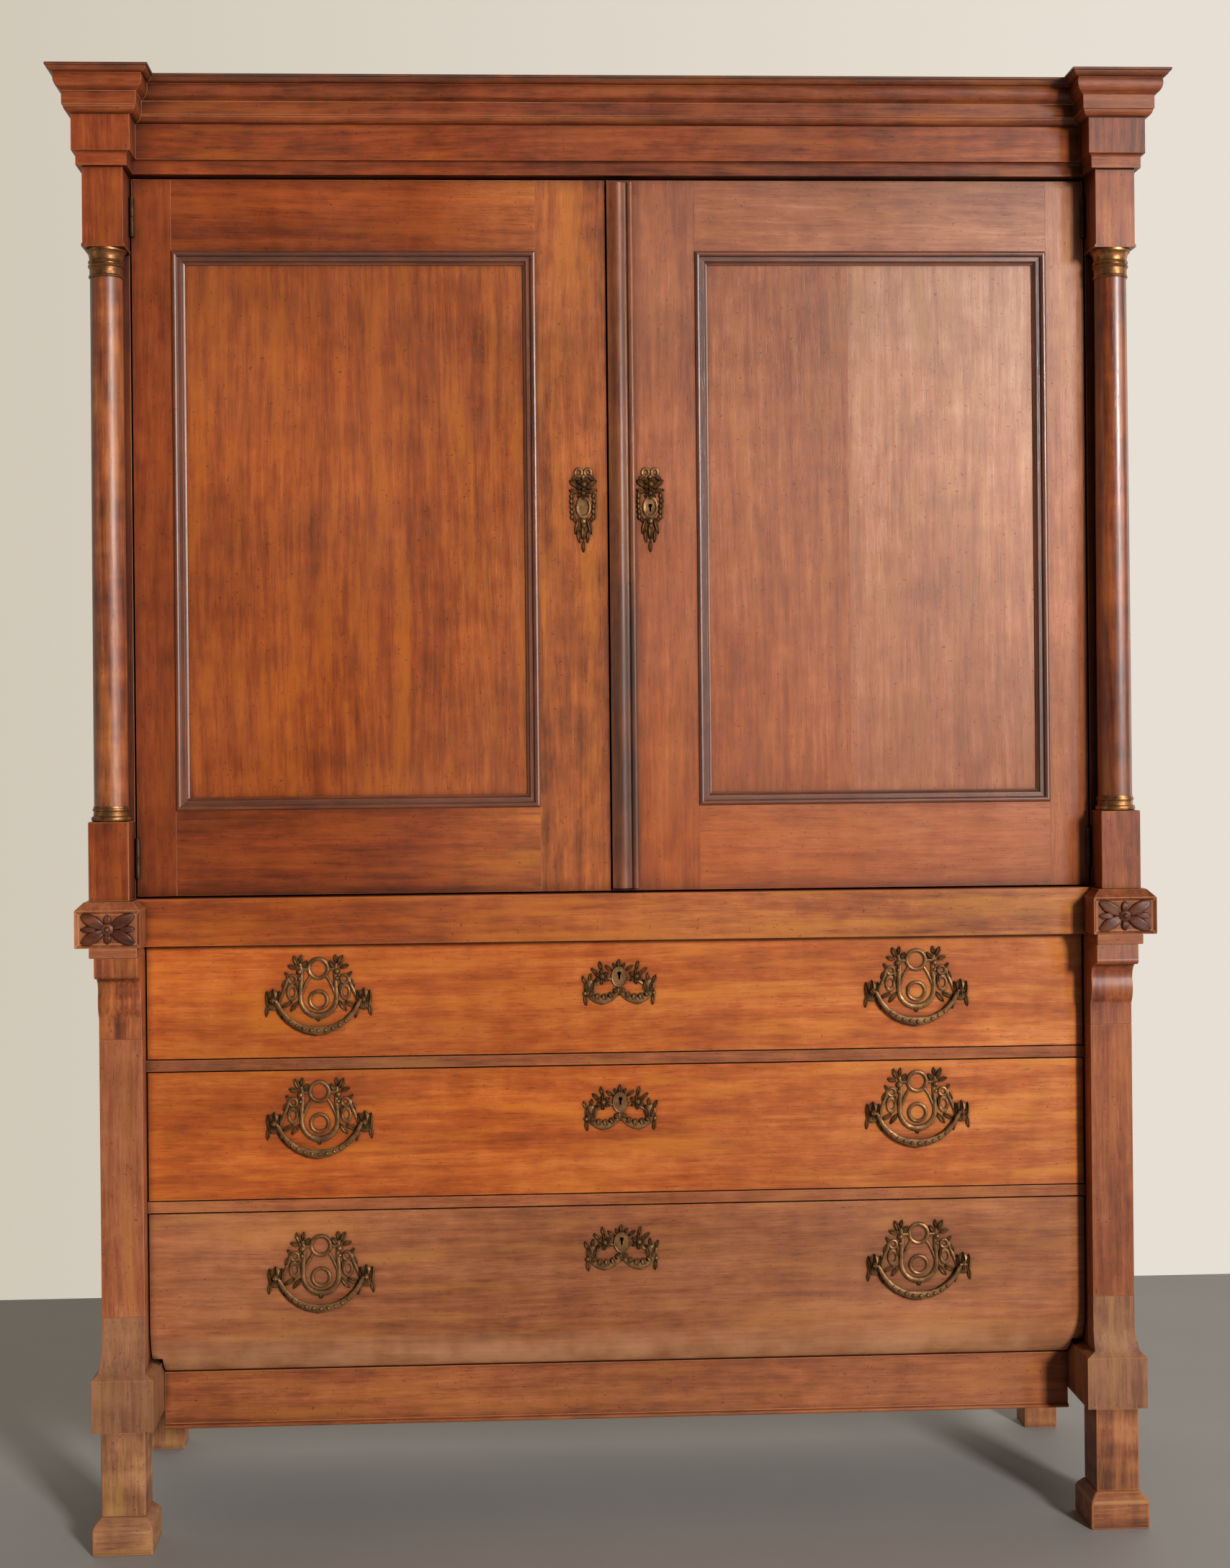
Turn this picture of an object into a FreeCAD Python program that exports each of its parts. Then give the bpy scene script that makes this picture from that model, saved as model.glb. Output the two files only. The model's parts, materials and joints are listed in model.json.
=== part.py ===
import FreeCAD, Part
import math
import os

# Empire kas cupboard: a lift-off cornice, a two-door press and a base with three long drawers.
# X runs along the front, the front faces -Y and Z is up. Everything is drawn with Y = 0 on the
# door faces; save() then moves it so that the origin is the middle of the underside of the whole.
# Sizes are millimetres.

V = FreeCAD.Vector

# ---------------------------------------------------------------- driving dimensions: heights
FOOT_H = 58.0            # foot pad
LEG_H = 134.0            # square leg between pad and block
BLOCK_H = 82.0           # straight part of the block over the leg
BLOCK_BEVEL = 9.0        # bevel on the block's top edges
FLARE_H = 42.0           # hollow sweep from the block up to the pilaster
FLARE_NECK = 45.0        # plain neck over the sweep
APRON_Z = 160.0          # underside of the apron rail
APRON_H = 92.0
APRON_T = 30.0
DRAWER_OPENINGS = (186.0, 210.0, 274.0)   # opening heights, top drawer first
DIVIDER_H = 18.0
WAIST_H = 76.0
ROSETTE_H = 72.0
ROSETTE_BEVEL = 13.0
FILLET_H = 16.0
CONSOLE_H = 134.0
UPPER_H = 1162.0         # door case between waist and cornice
PEDESTAL_H = 126.0
COLUMN_BASE_H = 24.0
CAPITAL_H = 46.0
DIE_H = 126.0
ABACUS_H = 9.0
BAND_H = 22.0
FRIEZE_H = 57.0
CROWN_H = 71.0

# ---------------------------------------------------------------- driving dimensions: widths
COLUMN_X = 810.0         # column axis from the middle of the front
DIE_W = 64.0
ROSETTE_W = 103.0
PILASTER_SET = 12.0      # pilaster axis inside the column axis
PILASTER_W = 68.0
BLOCK_OUT = 15.0         # foot block beyond the pilaster, on both sides
LEG_W = 70.0
FOOT_W = 96.0
FOOT_BEVEL = 14.0
FILLET_OUT = 7.0         # flush on the drawer side, so that the top drawer slides past
MEETING_X = -10.5        # line where the doors meet
OUTER_STILE = 63.0
LEFT_MEETING_STILE = 113.0
RIGHT_MEETING_STILE = 143.0
STRIP_W = 43.0           # moulded strip on the right door
HANDLE_X = 487.0

# ---------------------------------------------------------------- driving dimensions: depths
CASE_D = 497.0           # door face to the back of the case
DIE_D = 62.0             # dies and pedestals ahead of the door face
BAND_OUT = 8.0           # cornice band beyond the dies
FRIEZE_OUT = 14.0        # cornice frieze beyond the dies
CROWN_OUT = 34.0         # crown moulding beyond the frieze
RECESS = 54.0            # corner blocks ahead of the middle of the cornice
WAIST_FRONT = 24.0       # waist rail ahead of the door face
ROSETTE_FRONT = 82.0
CONSOLE_FRONT = 78.0
PILASTER_FRONT = 38.0
BLOCK_FRONT = 56.0
LEG_FRONT = 52.0
DRAWER_FACE = 2.0        # drawer fronts behind the door face
APRON_FACE = 62.0        # apron rail behind the door face
POST_D = 80.0

# ---------------------------------------------------------------- driving dimensions: stuff
BOARD = 24.0             # case sides, tops and bottoms
BACK_T = 12.0
BACK_BOARDS = 6
SHELF_T = 20.0
SHELF_COUNT = 3
DOOR_T = 28.0
TOP_RAIL = 115.0
BOTTOM_RAIL = 137.0
TENON_L = 40.0
PANEL_T = 12.0
PANEL_SET = 10.0         # panel face behind the frame face
GROOVE_D = 7.0
MOULDING_W = 21.0
CORNICE_T = 20.0         # thickness of frieze and band stock
CORNICE_TOP_T = 12.0
BACK_POST = 60.0
FRONT_T = 24.0           # drawer front
DRAWER_SIDE_T = 14.0
DRAWER_BACK_T = 12.0
DRAWER_BOTTOM_T = 8.0
DRAWER_REAR_GAP = 25.0   # drawer box to the back boards
DRAWER_HEADROOM = 12.0   # drawer sides below the top of their opening
TAIL_LAP = 6.0           # front wood left over the dovetails
SWELL_H = 93.0           # curved foot of the bottom drawer front
RUNNER_H = 20.0
GUIDE_H = 22.0
COLUMN_R = 26.4
PLATE_T = 2.5            # cast brass plates

# ---------------------------------------------------------------- clearances
DRAWER_GAP = 2.0
DOOR_GAP = 3.0
RUN = 0.3                # sliding clearance under and beside moving wood
PIN_CLEARANCE = 0.05

# ---------------------------------------------------------------- hinge, lock and bolt sizes
HINGE_H = 64.0
HINGE_INSET = 62.0       # hinge middle from the door's end
KNUCKLE_R = 4.0
HINGE_PIN_R = 2.0
LEAF_T = 1.2
LEAF_D = 25.0
AXIS_OUT = 5.0           # hinge axis ahead of the door face
AXIS_IN = 1.5            # hinge axis inside the door's edge
DOOR_BOLT_TRAVEL = 14.0
LOCK_TRAVEL = 12.0
BAIL_PIN_X = 73.0        # handle posts from the middle of the plate
BAIL_OUT = 11.0          # bail axis ahead of the drawer face
BAIL_PIN_R = 2.0
BAIL_DROP = 50.0
BAIL_T = 5.0
BAIL_END_GAP = 0.8       # bail to post, each end
BAIL_POST_W = 9.0
BAIL_POST_H = 11.0
LYRE_R = 30.0            # lower bow of the handle's lyre
RING_Z = 50.0            # ring between the lyre's stems, over the bail's axis
RING_R = 17.5
RING_HOLE = 11.5

# ---------------------------------------------------------------- worked-out levels
LEG_Z = FOOT_H
BLOCK_Z = LEG_Z + LEG_H
BLOCK_TOP = BLOCK_Z + BLOCK_H + BLOCK_BEVEL
NECK_Z = BLOCK_TOP + FLARE_H
PILASTER_Z = NECK_Z + FLARE_NECK
APRON_TOP = APRON_Z + APRON_H

DRAWER_TOPS = []
DRAWER_BOTTOMS = []
level = APRON_TOP
for opening in reversed(DRAWER_OPENINGS):
    DRAWER_BOTTOMS.insert(0, level)
    DRAWER_TOPS.insert(0, level + opening)
    level += opening + DIVIDER_H
WAIST_Z = DRAWER_TOPS[0]
WAIST_TOP = WAIST_Z + WAIST_H
ROSETTE_Z = WAIST_TOP - ROSETTE_H
FILLET_Z = ROSETTE_Z - FILLET_H
CONSOLE_Z = FILLET_Z - CONSOLE_H

CASE_TOP = WAIST_TOP + UPPER_H
PEDESTAL_TOP = WAIST_TOP + PEDESTAL_H
SHAFT_Z = PEDESTAL_TOP + COLUMN_BASE_H
DIE_Z = CASE_TOP - DIE_H
SHAFT_TOP = DIE_Z - CAPITAL_H
FRIEZE_Z = CASE_TOP + BAND_H
CROWN_Z = FRIEZE_Z + FRIEZE_H
TOP_Z = CROWN_Z + CROWN_H

UPPER_HALF = COLUMN_X + DIE_W / 2
DOOR_HALF = COLUMN_X - DIE_W / 2
PILASTER_X = COLUMN_X - PILASTER_SET
LOWER_HALF = PILASTER_X + PILASTER_W / 2
OPEN_HALF = PILASTER_X - PILASTER_W / 2
POST_FRONT = POST_D / 10
POST_BACK = POST_D - POST_FRONT
CROWN_FRONT = DIE_D + FRIEZE_OUT + CROWN_OUT
SHIFT_Y = (CROWN_FRONT - CASE_D) / 2

DOOR_Z = WAIST_TOP + DOOR_GAP
DOOR_TOP = CASE_TOP - DOOR_GAP - 1
DOOR_EDGE = DOOR_HALF - DOOR_GAP
INNER_Z = WAIST_TOP + BOARD
INNER_TOP = CASE_TOP - BOARD
BOARD_Y = DOOR_T + 2
CASE_BACK = CASE_D - BACK_T
FRONT_BACK = DRAWER_FACE + FRONT_T


# ---------------------------------------------------------------- shape helpers
def box(x0, x1, y0, y1, z0, z1):
    return Part.makeBox(x1 - x0, y1 - y0, z1 - z0, V(x0, y0, z0))


def face_of(steps, place):
    """Face with the outline of steps: a point is a line to it, a pair of points an arc to it."""
    first = steps[0]
    here = place(*first)
    edges = []
    for step in list(steps[1:]) + [first]:
        if isinstance(step[0], tuple):
            end = place(*step[1])
            edges.append(Part.Arc(here, place(*step[0]), end).toShape())
        else:
            end = place(*step)
            if here.distanceToPoint(end) < 1e-6:
                continue
            edges.append(Part.makeLine(here, end))
        here = end
    return Part.Face(Part.Wire(edges))


def along_x(steps, x0, x1):
    """Outline in (y, z), drawn out from x0 to x1."""
    return face_of(steps, lambda a, b: V(x0, a, b)).extrude(V(x1 - x0, 0, 0))


def along_y(steps, y0, y1):
    """Outline in (x, z), drawn out from y0 to y1."""
    return face_of(steps, lambda a, b: V(a, y0, b)).extrude(V(0, y1 - y0, 0))


def along_z(steps, z0, z1):
    """Outline in (x, y), drawn out from z0 to z1."""
    return face_of(steps, lambda a, b: V(a, b, z0)).extrude(V(0, 0, z1 - z0))


def turned(steps, x, y):
    """Outline in (radius, z), turned about the upright line through (x, y)."""
    face = face_of(steps, lambda a, b: V(x + a, y, b))
    return face.revolve(V(x, y, 0), V(0, 0, 1), 360)


def other_side(shape):
    return shape.mirror(V(0, 0, 0), V(1, 0, 0))


def both_sides(shapes):
    return [copy for shape in shapes for copy in (shape, other_side(shape))]


def upright(shape, y=0.0):
    """Lay a shape drawn as (x, height, proudness) onto the front plane at y."""
    standing = shape.copy()
    standing.rotate(V(0, 0, 0), V(1, 0, 0), 90)
    standing.translate(V(0, y, 0))
    return standing


def mitred(steps, path, closed=False):
    """Run a moulding along path, one solid per straight, mitred where the runs meet.

    steps is its section as (offset to the right of the run, height).
    """
    count = len(path)
    runs = count if closed else count - 1
    directions = []
    for i in range(runs):
        a = V(path[i][0], path[i][1], 0)
        b = V(path[(i + 1) % count][0], path[(i + 1) % count][1], 0)
        directions.append((b - a).normalize())
    reach = 2 * max(abs(value) for step in steps for point in ([step] if not isinstance(step[0], tuple)
                                                               else step) for value in point) + 100
    solids = []
    for i in range(runs):
        start = V(path[i][0], path[i][1], 0)
        end = V(path[(i + 1) % count][0], path[(i + 1) % count][1], 0)
        run = directions[i]
        right = V(run.y, -run.x, 0)
        has_before = closed or i > 0
        has_after = closed or i < runs - 1
        origin = start - run * reach if has_before else start
        length = (end - start).Length + reach * (int(has_before) + int(has_after))
        face = face_of(steps, lambda a, b: origin + right * a + V(0, 0, b))
        solid = face.extrude(run * length)
        if has_before:
            before = directions[i - 1]
            solid = solid.cut(beyond_mitre(start, before, run, -1, reach))
        if has_after:
            after = directions[(i + 1) % runs]
            solid = solid.cut(beyond_mitre(end, run, after, 1, reach, run))
        solids.append(solid.Solids[0])
    return solids


def beyond_mitre(corner, run_in, run_out, side, reach, along=None):
    """The block that is cut away past the mitre at a corner."""
    along = along or run_out
    slant = (V(run_in.y, -run_in.x, 0) + V(run_out.y, -run_out.x, 0)).normalize()
    far = reach * 3
    p0 = corner - slant * far
    p1 = corner + slant * far
    away = along * (side * far * 2)
    corners = [p0, p1, p1 + away, p0 + away]
    outline = [(p.x, p.y) for p in corners]
    return along_z(outline, -far, TOP_Z + far)


def disc(x, y, radius, height=PLATE_T):
    return Part.makeCylinder(radius, height, V(x, y, 0))


def joined(shapes):
    whole = shapes[0].fuse(shapes[1:])
    return whole.removeSplitter()


def save(name, solids):
    """Write one node; solids that are separate pieces stay separate."""
    parts = [solid for shape in solids for solid in shape.Solids]
    node = Part.makeCompound(parts)
    node.translate(V(0, SHIFT_Y, 0))
    node.exportStep("parts/" + name + ".step")


# ---------------------------------------------------------------- cornice
def cornice_path(out):
    """Line around the front and sides of the cornice, out from the faces of the dies."""
    x_out = UPPER_HALF + out
    x_in = DOOR_HALF - out
    y_block = -(DIE_D + out)
    y_middle = y_block + RECESS
    half = [(x_in, y_middle), (x_in, y_block), (x_out, y_block), (x_out, CASE_D)]
    return [(-x, y) for x, y in reversed(half)] + half


def cornice():
    top_board_z = TOP_Z - CORNICE_TOP_T
    crown = [(0, CROWN_Z), ((7, CROWN_Z + 3), (10, CROWN_Z + 10)), (12, CROWN_Z + 12),
             (12, CROWN_Z + 33), (19, CROWN_Z + 38), ((23, CROWN_Z + 48), (21.5, CROWN_Z + 59)),
             (24, CROWN_Z + 59), ((29, CROWN_Z + 62), (31, CROWN_Z + 67)),
             (CROWN_OUT, CROWN_Z + 67), (CROWN_OUT, TOP_Z), (0, TOP_Z)]
    save("cornice_crown", mitred(crown, cornice_path(FRIEZE_OUT)))
    frieze = [(-CORNICE_T, FRIEZE_Z), (0, FRIEZE_Z), (0, top_board_z), (-CORNICE_T, top_board_z)]
    step = FRIEZE_OUT - BAND_OUT
    hollow = 0.3 * step
    band_steps = [(-CORNICE_T, CASE_TOP), (0, CASE_TOP), (0, FRIEZE_Z - step - 1),
                  ((hollow, FRIEZE_Z - hollow), (step, FRIEZE_Z)), (-CORNICE_T, FRIEZE_Z)]
    save("cornice_frieze", mitred(frieze, cornice_path(FRIEZE_OUT))
         + mitred(band_steps, cornice_path(BAND_OUT)))
    wide = UPPER_HALF + FRIEZE_OUT - CORNICE_T
    narrow = UPPER_HALF + BAND_OUT - CORNICE_T
    top = along_z(cornice_path(FRIEZE_OUT), top_board_z, TOP_Z)
    outline = [(-narrow, CASE_TOP), (narrow, CASE_TOP), (narrow, FRIEZE_Z), (wide, FRIEZE_Z),
               (wide, top_board_z), (-wide, top_board_z), (-wide, FRIEZE_Z), (-narrow, FRIEZE_Z)]
    back_rail = along_y(outline, CASE_D - CORNICE_T, CASE_D)
    recess_back = RECESS - DIE_D - BAND_OUT + CORNICE_T
    bearer = box(-DOOR_HALF, DOOR_HALF, recess_back, recess_back + 50, CASE_TOP, FRIEZE_Z)
    save("cornice_boards", [top, back_rail, bearer])


# ---------------------------------------------------------------- upper case
def upper_case():
    side = box(UPPER_HALF - BOARD, UPPER_HALF, POST_BACK / 2, CASE_D, WAIST_TOP, CASE_TOP)
    save("upper_sides", both_sides([side]))
    post = box(DOOR_HALF, UPPER_HALF, 0, POST_BACK / 2, WAIST_TOP, CASE_TOP)
    save("upper_posts", both_sides([post]))

    half = UPPER_HALF - BOARD
    outline = [(-half, CASE_BACK), (-half, POST_BACK / 2), (-DOOR_HALF, POST_BACK / 2),
               (-DOOR_HALF, BOARD_Y), (DOOR_HALF, BOARD_Y), (DOOR_HALF, POST_BACK / 2),
               (half, POST_BACK / 2), (half, CASE_BACK)]
    bottom = along_z(outline, WAIST_TOP, INNER_Z)
    top = along_z(outline, INNER_TOP, CASE_TOP)
    bottom = bottom.cut(door_bolt_hole(WAIST_TOP, INNER_Z))
    top = top.cut(door_bolt_hole(INNER_TOP, CASE_TOP))
    pitch = 2 * half / BACK_BOARDS
    boards = [box(-half + i * pitch, -half + (i + 1) * pitch, CASE_BACK, CASE_D, WAIST_TOP, CASE_TOP)
              for i in range(BACK_BOARDS)]
    save("upper_boards", [bottom, top] + lapped(boards, half, pitch, WAIST_TOP, CASE_TOP))

    bay = (INNER_TOP - INNER_Z - SHELF_COUNT * SHELF_T) / (SHELF_COUNT + 1)
    pieces = []
    for i in range(SHELF_COUNT):
        z = INNER_Z + (i + 1) * bay + i * SHELF_T
        pieces.append(box(-half, half, BOARD_Y + 34, CASE_BACK, z, z + SHELF_T))
        pieces += both_sides([box(half - 26, half, BOARD_Y + 34, CASE_BACK, z - 22, z)])
    save("shelves", pieces)


def lapped(boards, half, pitch, z0, z1):
    """Give neighbouring back boards a half-thickness lap 8 mm wide."""
    done = []
    for i, board in enumerate(boards):
        x0 = -half + i * pitch
        x1 = x0 + pitch
        middle = CASE_BACK + BACK_T / 2
        if i > 0:
            board = board.cut(box(x0, x0 + 8, CASE_BACK, middle, z0, z1))
        if i < len(boards) - 1:
            board = board.fuse(box(x1, x1 + 8, CASE_BACK, middle, z0, z1)).removeSplitter()
        done.append(board)
    return done


def columns():
    x = COLUMN_X
    y = -DIE_D / 2
    half = DIE_W / 2
    plain = box(x - half, x + half, -DIE_D, 0, DIE_Z + ABACUS_H, CASE_TOP)
    lip = 2.0
    profile = [(-half - lip, DIE_Z), (half + lip, DIE_Z), (half + lip, DIE_Z + 4),
               ((half + 0.5, DIE_Z + 5.5), (half, DIE_Z + ABACUS_H)), (-half, DIE_Z + ABACUS_H),
               ((-half - 0.5, DIE_Z + 5.5), (-half - lip, DIE_Z + 4))]
    abacus = along_y(profile, -DIE_D, 0)
    abacus.translate(V(x, 0, 0))
    save("column_dies", both_sides([joined([plain, abacus])]))
    pedestal = box(x - half, x + half, -DIE_D, 0, WAIST_TOP, PEDESTAL_TOP)
    save("column_pedestals", both_sides([pedestal]))
    shaft = Part.makeCylinder(COLUMN_R, SHAFT_TOP - SHAFT_Z, V(x, y, SHAFT_Z))
    save("column_shafts", both_sides([shaft]))

    r = COLUMN_R
    wide = half - 1
    z = PEDESTAL_TOP
    base = [(0, z), (wide, z), (wide, z + 7), (r + 1.5, z + 15), (r + 1.5, z + COLUMN_BASE_H),
            (0, z + COLUMN_BASE_H)]
    z = SHAFT_TOP
    capital = [(0, z), (r + 1.8, z), (r, z + 8), (r, z + 22), (r + 1.8, z + 38),
               (r + 1.8, z + CAPITAL_H), (0, z + CAPITAL_H)]
    save("column_brasses", both_sides([turned(base, x, y), turned(capital, x, y)]))


# ---------------------------------------------------------------- doors
def door_bolt_x():
    return MEETING_X - DOOR_GAP / 2 - LEFT_MEETING_STILE / 2


def door_bolt_hole(z0, z1):
    """Hole in the case board that takes the left door's bolt."""
    x = door_bolt_x()
    return box(x - 6.5, x + 6.5, DOOR_T + 2.5, DOOR_T + 9.5, z0, z1)


def left_door_bolts():
    """Slim iron bolts on the back of the left door, at its top and bottom, drawn back."""
    x = door_bolt_x()
    length = 130.0
    y0 = DOOR_T + 3
    y1 = y0 + 6
    top_end = INNER_TOP - 2
    low_end = INNER_Z + 2
    knob_t = joined([box(x - 6, x + 6, y0, y1, top_end - length, top_end),
                     box(x - 4, x + 4, y1, y1 + 9, top_end - length + 20, top_end - length + 30)])
    knob_b = joined([box(x - 6, x + 6, y0, y1, low_end, low_end + length),
                     box(x - 4, x + 4, y1, y1 + 9, low_end + length - 30, low_end + length - 20)])
    save("left_door_top_bolt", [knob_t])
    save("left_door_bottom_bolt", [knob_b])
    guides = []
    for low, high in ((top_end - 85, top_end - 25), (low_end + 25, low_end + 85)):
        plate = box(x - 14, x + 14, DOOR_T, DOOR_T + 2, low, high)
        staples = [staple(x, level) for level in (low + 6, high - 16)]
        guides.append(joined([plate] + staples))
    return guides


def staple(x, z):
    """Strap over a door bolt, 10 mm high."""
    block = box(x - 10, x + 10, DOOR_T + 2, DOOR_T + 12, z, z + 10)
    return block.cut(box(x - 6 - RUN, x + 6 + RUN, DOOR_T + 2, DOOR_T + 9 + RUN, z, z + 10))


def hinge_levels():
    return (DOOR_Z + HINGE_INSET, DOOR_TOP - HINGE_INSET)


def hinge_halves(z):
    """Lift-off hinge of the right door: lower half with its pin, upper half with the socket."""
    x = DOOR_EDGE - AXIS_IN
    y = -AXIS_OUT
    low = z - HINGE_H / 2
    middle = z
    high = z + HINGE_H / 2
    tab_y = y + KNUCKLE_R - 1
    barrel = Part.makeCylinder(KNUCKLE_R, middle - low, V(x, y, low))
    pin = Part.makeCylinder(HINGE_PIN_R, HINGE_H * 0.4, V(x, y, middle))
    leaf = box(DOOR_HALF - LEAF_T, DOOR_HALF, tab_y, LEAF_D, low, high)
    tab = box(x, DOOR_HALF, y, y + 1.5, low, middle)
    neck = box(DOOR_HALF - LEAF_T, DOOR_HALF, y, tab_y, low, middle)
    fixed = joined([barrel, pin, leaf, tab, neck])

    lift = RUN
    barrel = Part.makeCylinder(KNUCKLE_R, high - middle - lift, V(x, y, middle + lift))
    leaf = box(DOOR_EDGE, DOOR_EDGE + LEAF_T, y, LEAF_D, middle + lift, high)
    moving = joined([barrel, leaf])
    socket = Part.makeCylinder(HINGE_PIN_R + PIN_CLEARANCE, HINGE_H * 0.4 + lift, V(x, y, middle))
    return fixed, moving.cut(socket)


def door_frame(x0, x1, stile0, stile1):
    """Stiles and rails of a door from x0 to x1, with the panel opening between the stiles."""
    left = box(x0, x0 + stile0, 0, DOOR_T, DOOR_Z, DOOR_TOP)
    right = box(x1 - stile1, x1, 0, DOOR_T, DOOR_Z, DOOR_TOP)
    a = x0 + stile0
    b = x1 - stile1
    z0 = DOOR_Z + BOTTOM_RAIL
    z1 = DOOR_TOP - TOP_RAIL
    tenon_y = (PANEL_SET, PANEL_SET + PANEL_T)
    rails = []
    for low, high in ((DOOR_Z, z0), (z1, DOOR_TOP)):
        tenons = [box(a - TENON_L, a, *tenon_y, low + 15, high - 15),
                  box(b, b + TENON_L, *tenon_y, low + 15, high - 15)]
        left = left.cut(tenons[0])
        right = right.cut(tenons[1])
        rails.append(joined([box(a, b, 0, DOOR_T, low, high)] + tenons))
    panel = box(a - GROOVE_D, b + GROOVE_D, *tenon_y, z0 - GROOVE_D, z1 + GROOVE_D)
    frame = [left.cut(panel), right.cut(panel)] + [rail.cut(panel) for rail in rails]
    return frame, panel, (a, b, z0, z1)


def panel_moulding(opening):
    """Mitred bead and fillet around the panel, inside the frame."""
    a, b, z0, z1 = opening
    low = -PANEL_SET
    bead = 9.0
    section = [(0, low), (0, 1), ((bead / 2, 4.2), (bead, 1)), (bead, -1.5), (MOULDING_W - 5, -1.5),
               ((MOULDING_W - 3.5, -5.5), (MOULDING_W, -7.5)), (MOULDING_W, low)]
    path = [(a, z0), (a, z1), (b, z1), (b, z0)]
    return [upright(solid) for solid in mitred(section, path, closed=True)]


def mirrored_outline(half):
    """Closed outline from its right half, listed from the top of the middle line to its foot."""
    left = []
    for i in range(len(half) - 1, 0, -1):
        before = half[i - 1][1] if isinstance(half[i - 1][0], tuple) else half[i - 1]
        end = (-before[0], before[1])
        bulge = (-half[i][0][0], half[i][0][1]) if isinstance(half[i][0], tuple) else None
        left.append((bulge, end) if bulge else end)
    return half + left


def door_escutcheon(x, z, hole):
    """Upright cast plate: bow, spray of flowers round the shield, leaf drop."""
    half = [(0, 58), ((7, 63), (12, 56)), (9, 46), ((20, 38), (21, 22)), (21, -12), (12, -18),
            ((14, -40), (7, -56)), (0, -73)]
    plate = along_z(mirrored_outline(half), 0, PLATE_T)
    plate = plate.cut(keyhole(PLATE_T)) if hole else plate
    plate.translate(V(x, z, 0))
    return upright(plate)


def keyhole(depth):
    """Cutter for a keyhole about the origin, drawn flat."""
    return disc(0, 2, 3.2, depth).fuse(box(-1.4, 1.4, -7, 2, 0, depth))


def doors():
    left_edge = MEETING_X - DOOR_GAP / 2
    right_edge = MEETING_X + DOOR_GAP / 2
    lock_z = (DOOR_Z + DOOR_TOP) / 2 + 46
    lock_x = right_edge + 67
    bolt = box(right_edge + 1, right_edge + 50, 16.5, 22.5, lock_z - 12, lock_z + 12)
    channel = box(right_edge, right_edge + 51, 16.5 - RUN, 22.5 + RUN,
                  lock_z - 12 - RUN, lock_z + 12 + RUN)
    case = box(right_edge, right_edge + 90, 13, DOOR_T + 1.5, lock_z - 45, lock_z + 45)
    bore = upright(keyhole(DOOR_T), DOOR_T)
    bore.translate(V(lock_x, 0, lock_z))

    frame, panel, opening = door_frame(-DOOR_EDGE, left_edge, OUTER_STILE, LEFT_MEETING_STILE)
    mortise = box(left_edge - LOCK_TRAVEL - 4, left_edge, 16, 23, lock_z - 13, lock_z + 13)
    frame[1] = frame[1].cut(mortise)
    save("left_door_frame", frame)
    save("left_door_panel", [panel])
    save("left_door_mouldings", panel_moulding(opening))
    hinges = [hinge_halves(z) for z in hinge_levels()]
    guides = left_door_bolts()
    plate = door_escutcheon(left_edge - 39, lock_z, False)
    save("left_door_brasses", [plate] + guides + [other_side(moving) for fixed, moving in hinges])

    frame, panel, opening = door_frame(right_edge, DOOR_EDGE, RIGHT_MEETING_STILE, OUTER_STILE)
    frame[0] = frame[0].cut(case).cut(bore)
    save("right_door_frame", frame)
    save("right_door_panel", [panel])
    save("right_door_mouldings", panel_moulding(opening))
    x = right_edge
    strip = [(x, 0), (x, -7), ((x + 5, -9), (x + 9, -12)), ((x + 18, -14.5), (x + 26, -11)),
             (x + 29, -9), (x + 32, -9), ((x + 37.5, -14.5), (x + STRIP_W, -9)), (x + STRIP_W, 0)]
    save("right_door_strip", [along_z(strip, DOOR_Z + 4, DOOR_TOP - 6)])
    plate = door_escutcheon(lock_x, lock_z, True)
    save("right_door_brasses", [plate] + [moving for fixed, moving in hinges])
    save("right_door_lock", [case.cut(channel).cut(bore)])
    save("right_door_lock_bolt", [bolt])
    save("hinge_pins", both_sides([fixed for fixed, moving in hinges]))


# ---------------------------------------------------------------- lower case
def drawer_bolt_hole(z):
    """Mortise for a drawer's lock bolt in the rail over it."""
    y = DRAWER_FACE + 13.5
    return box(-11, 11, y - 0.5, y + 6.5, z, z + LOCK_TRAVEL + 2)


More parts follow.
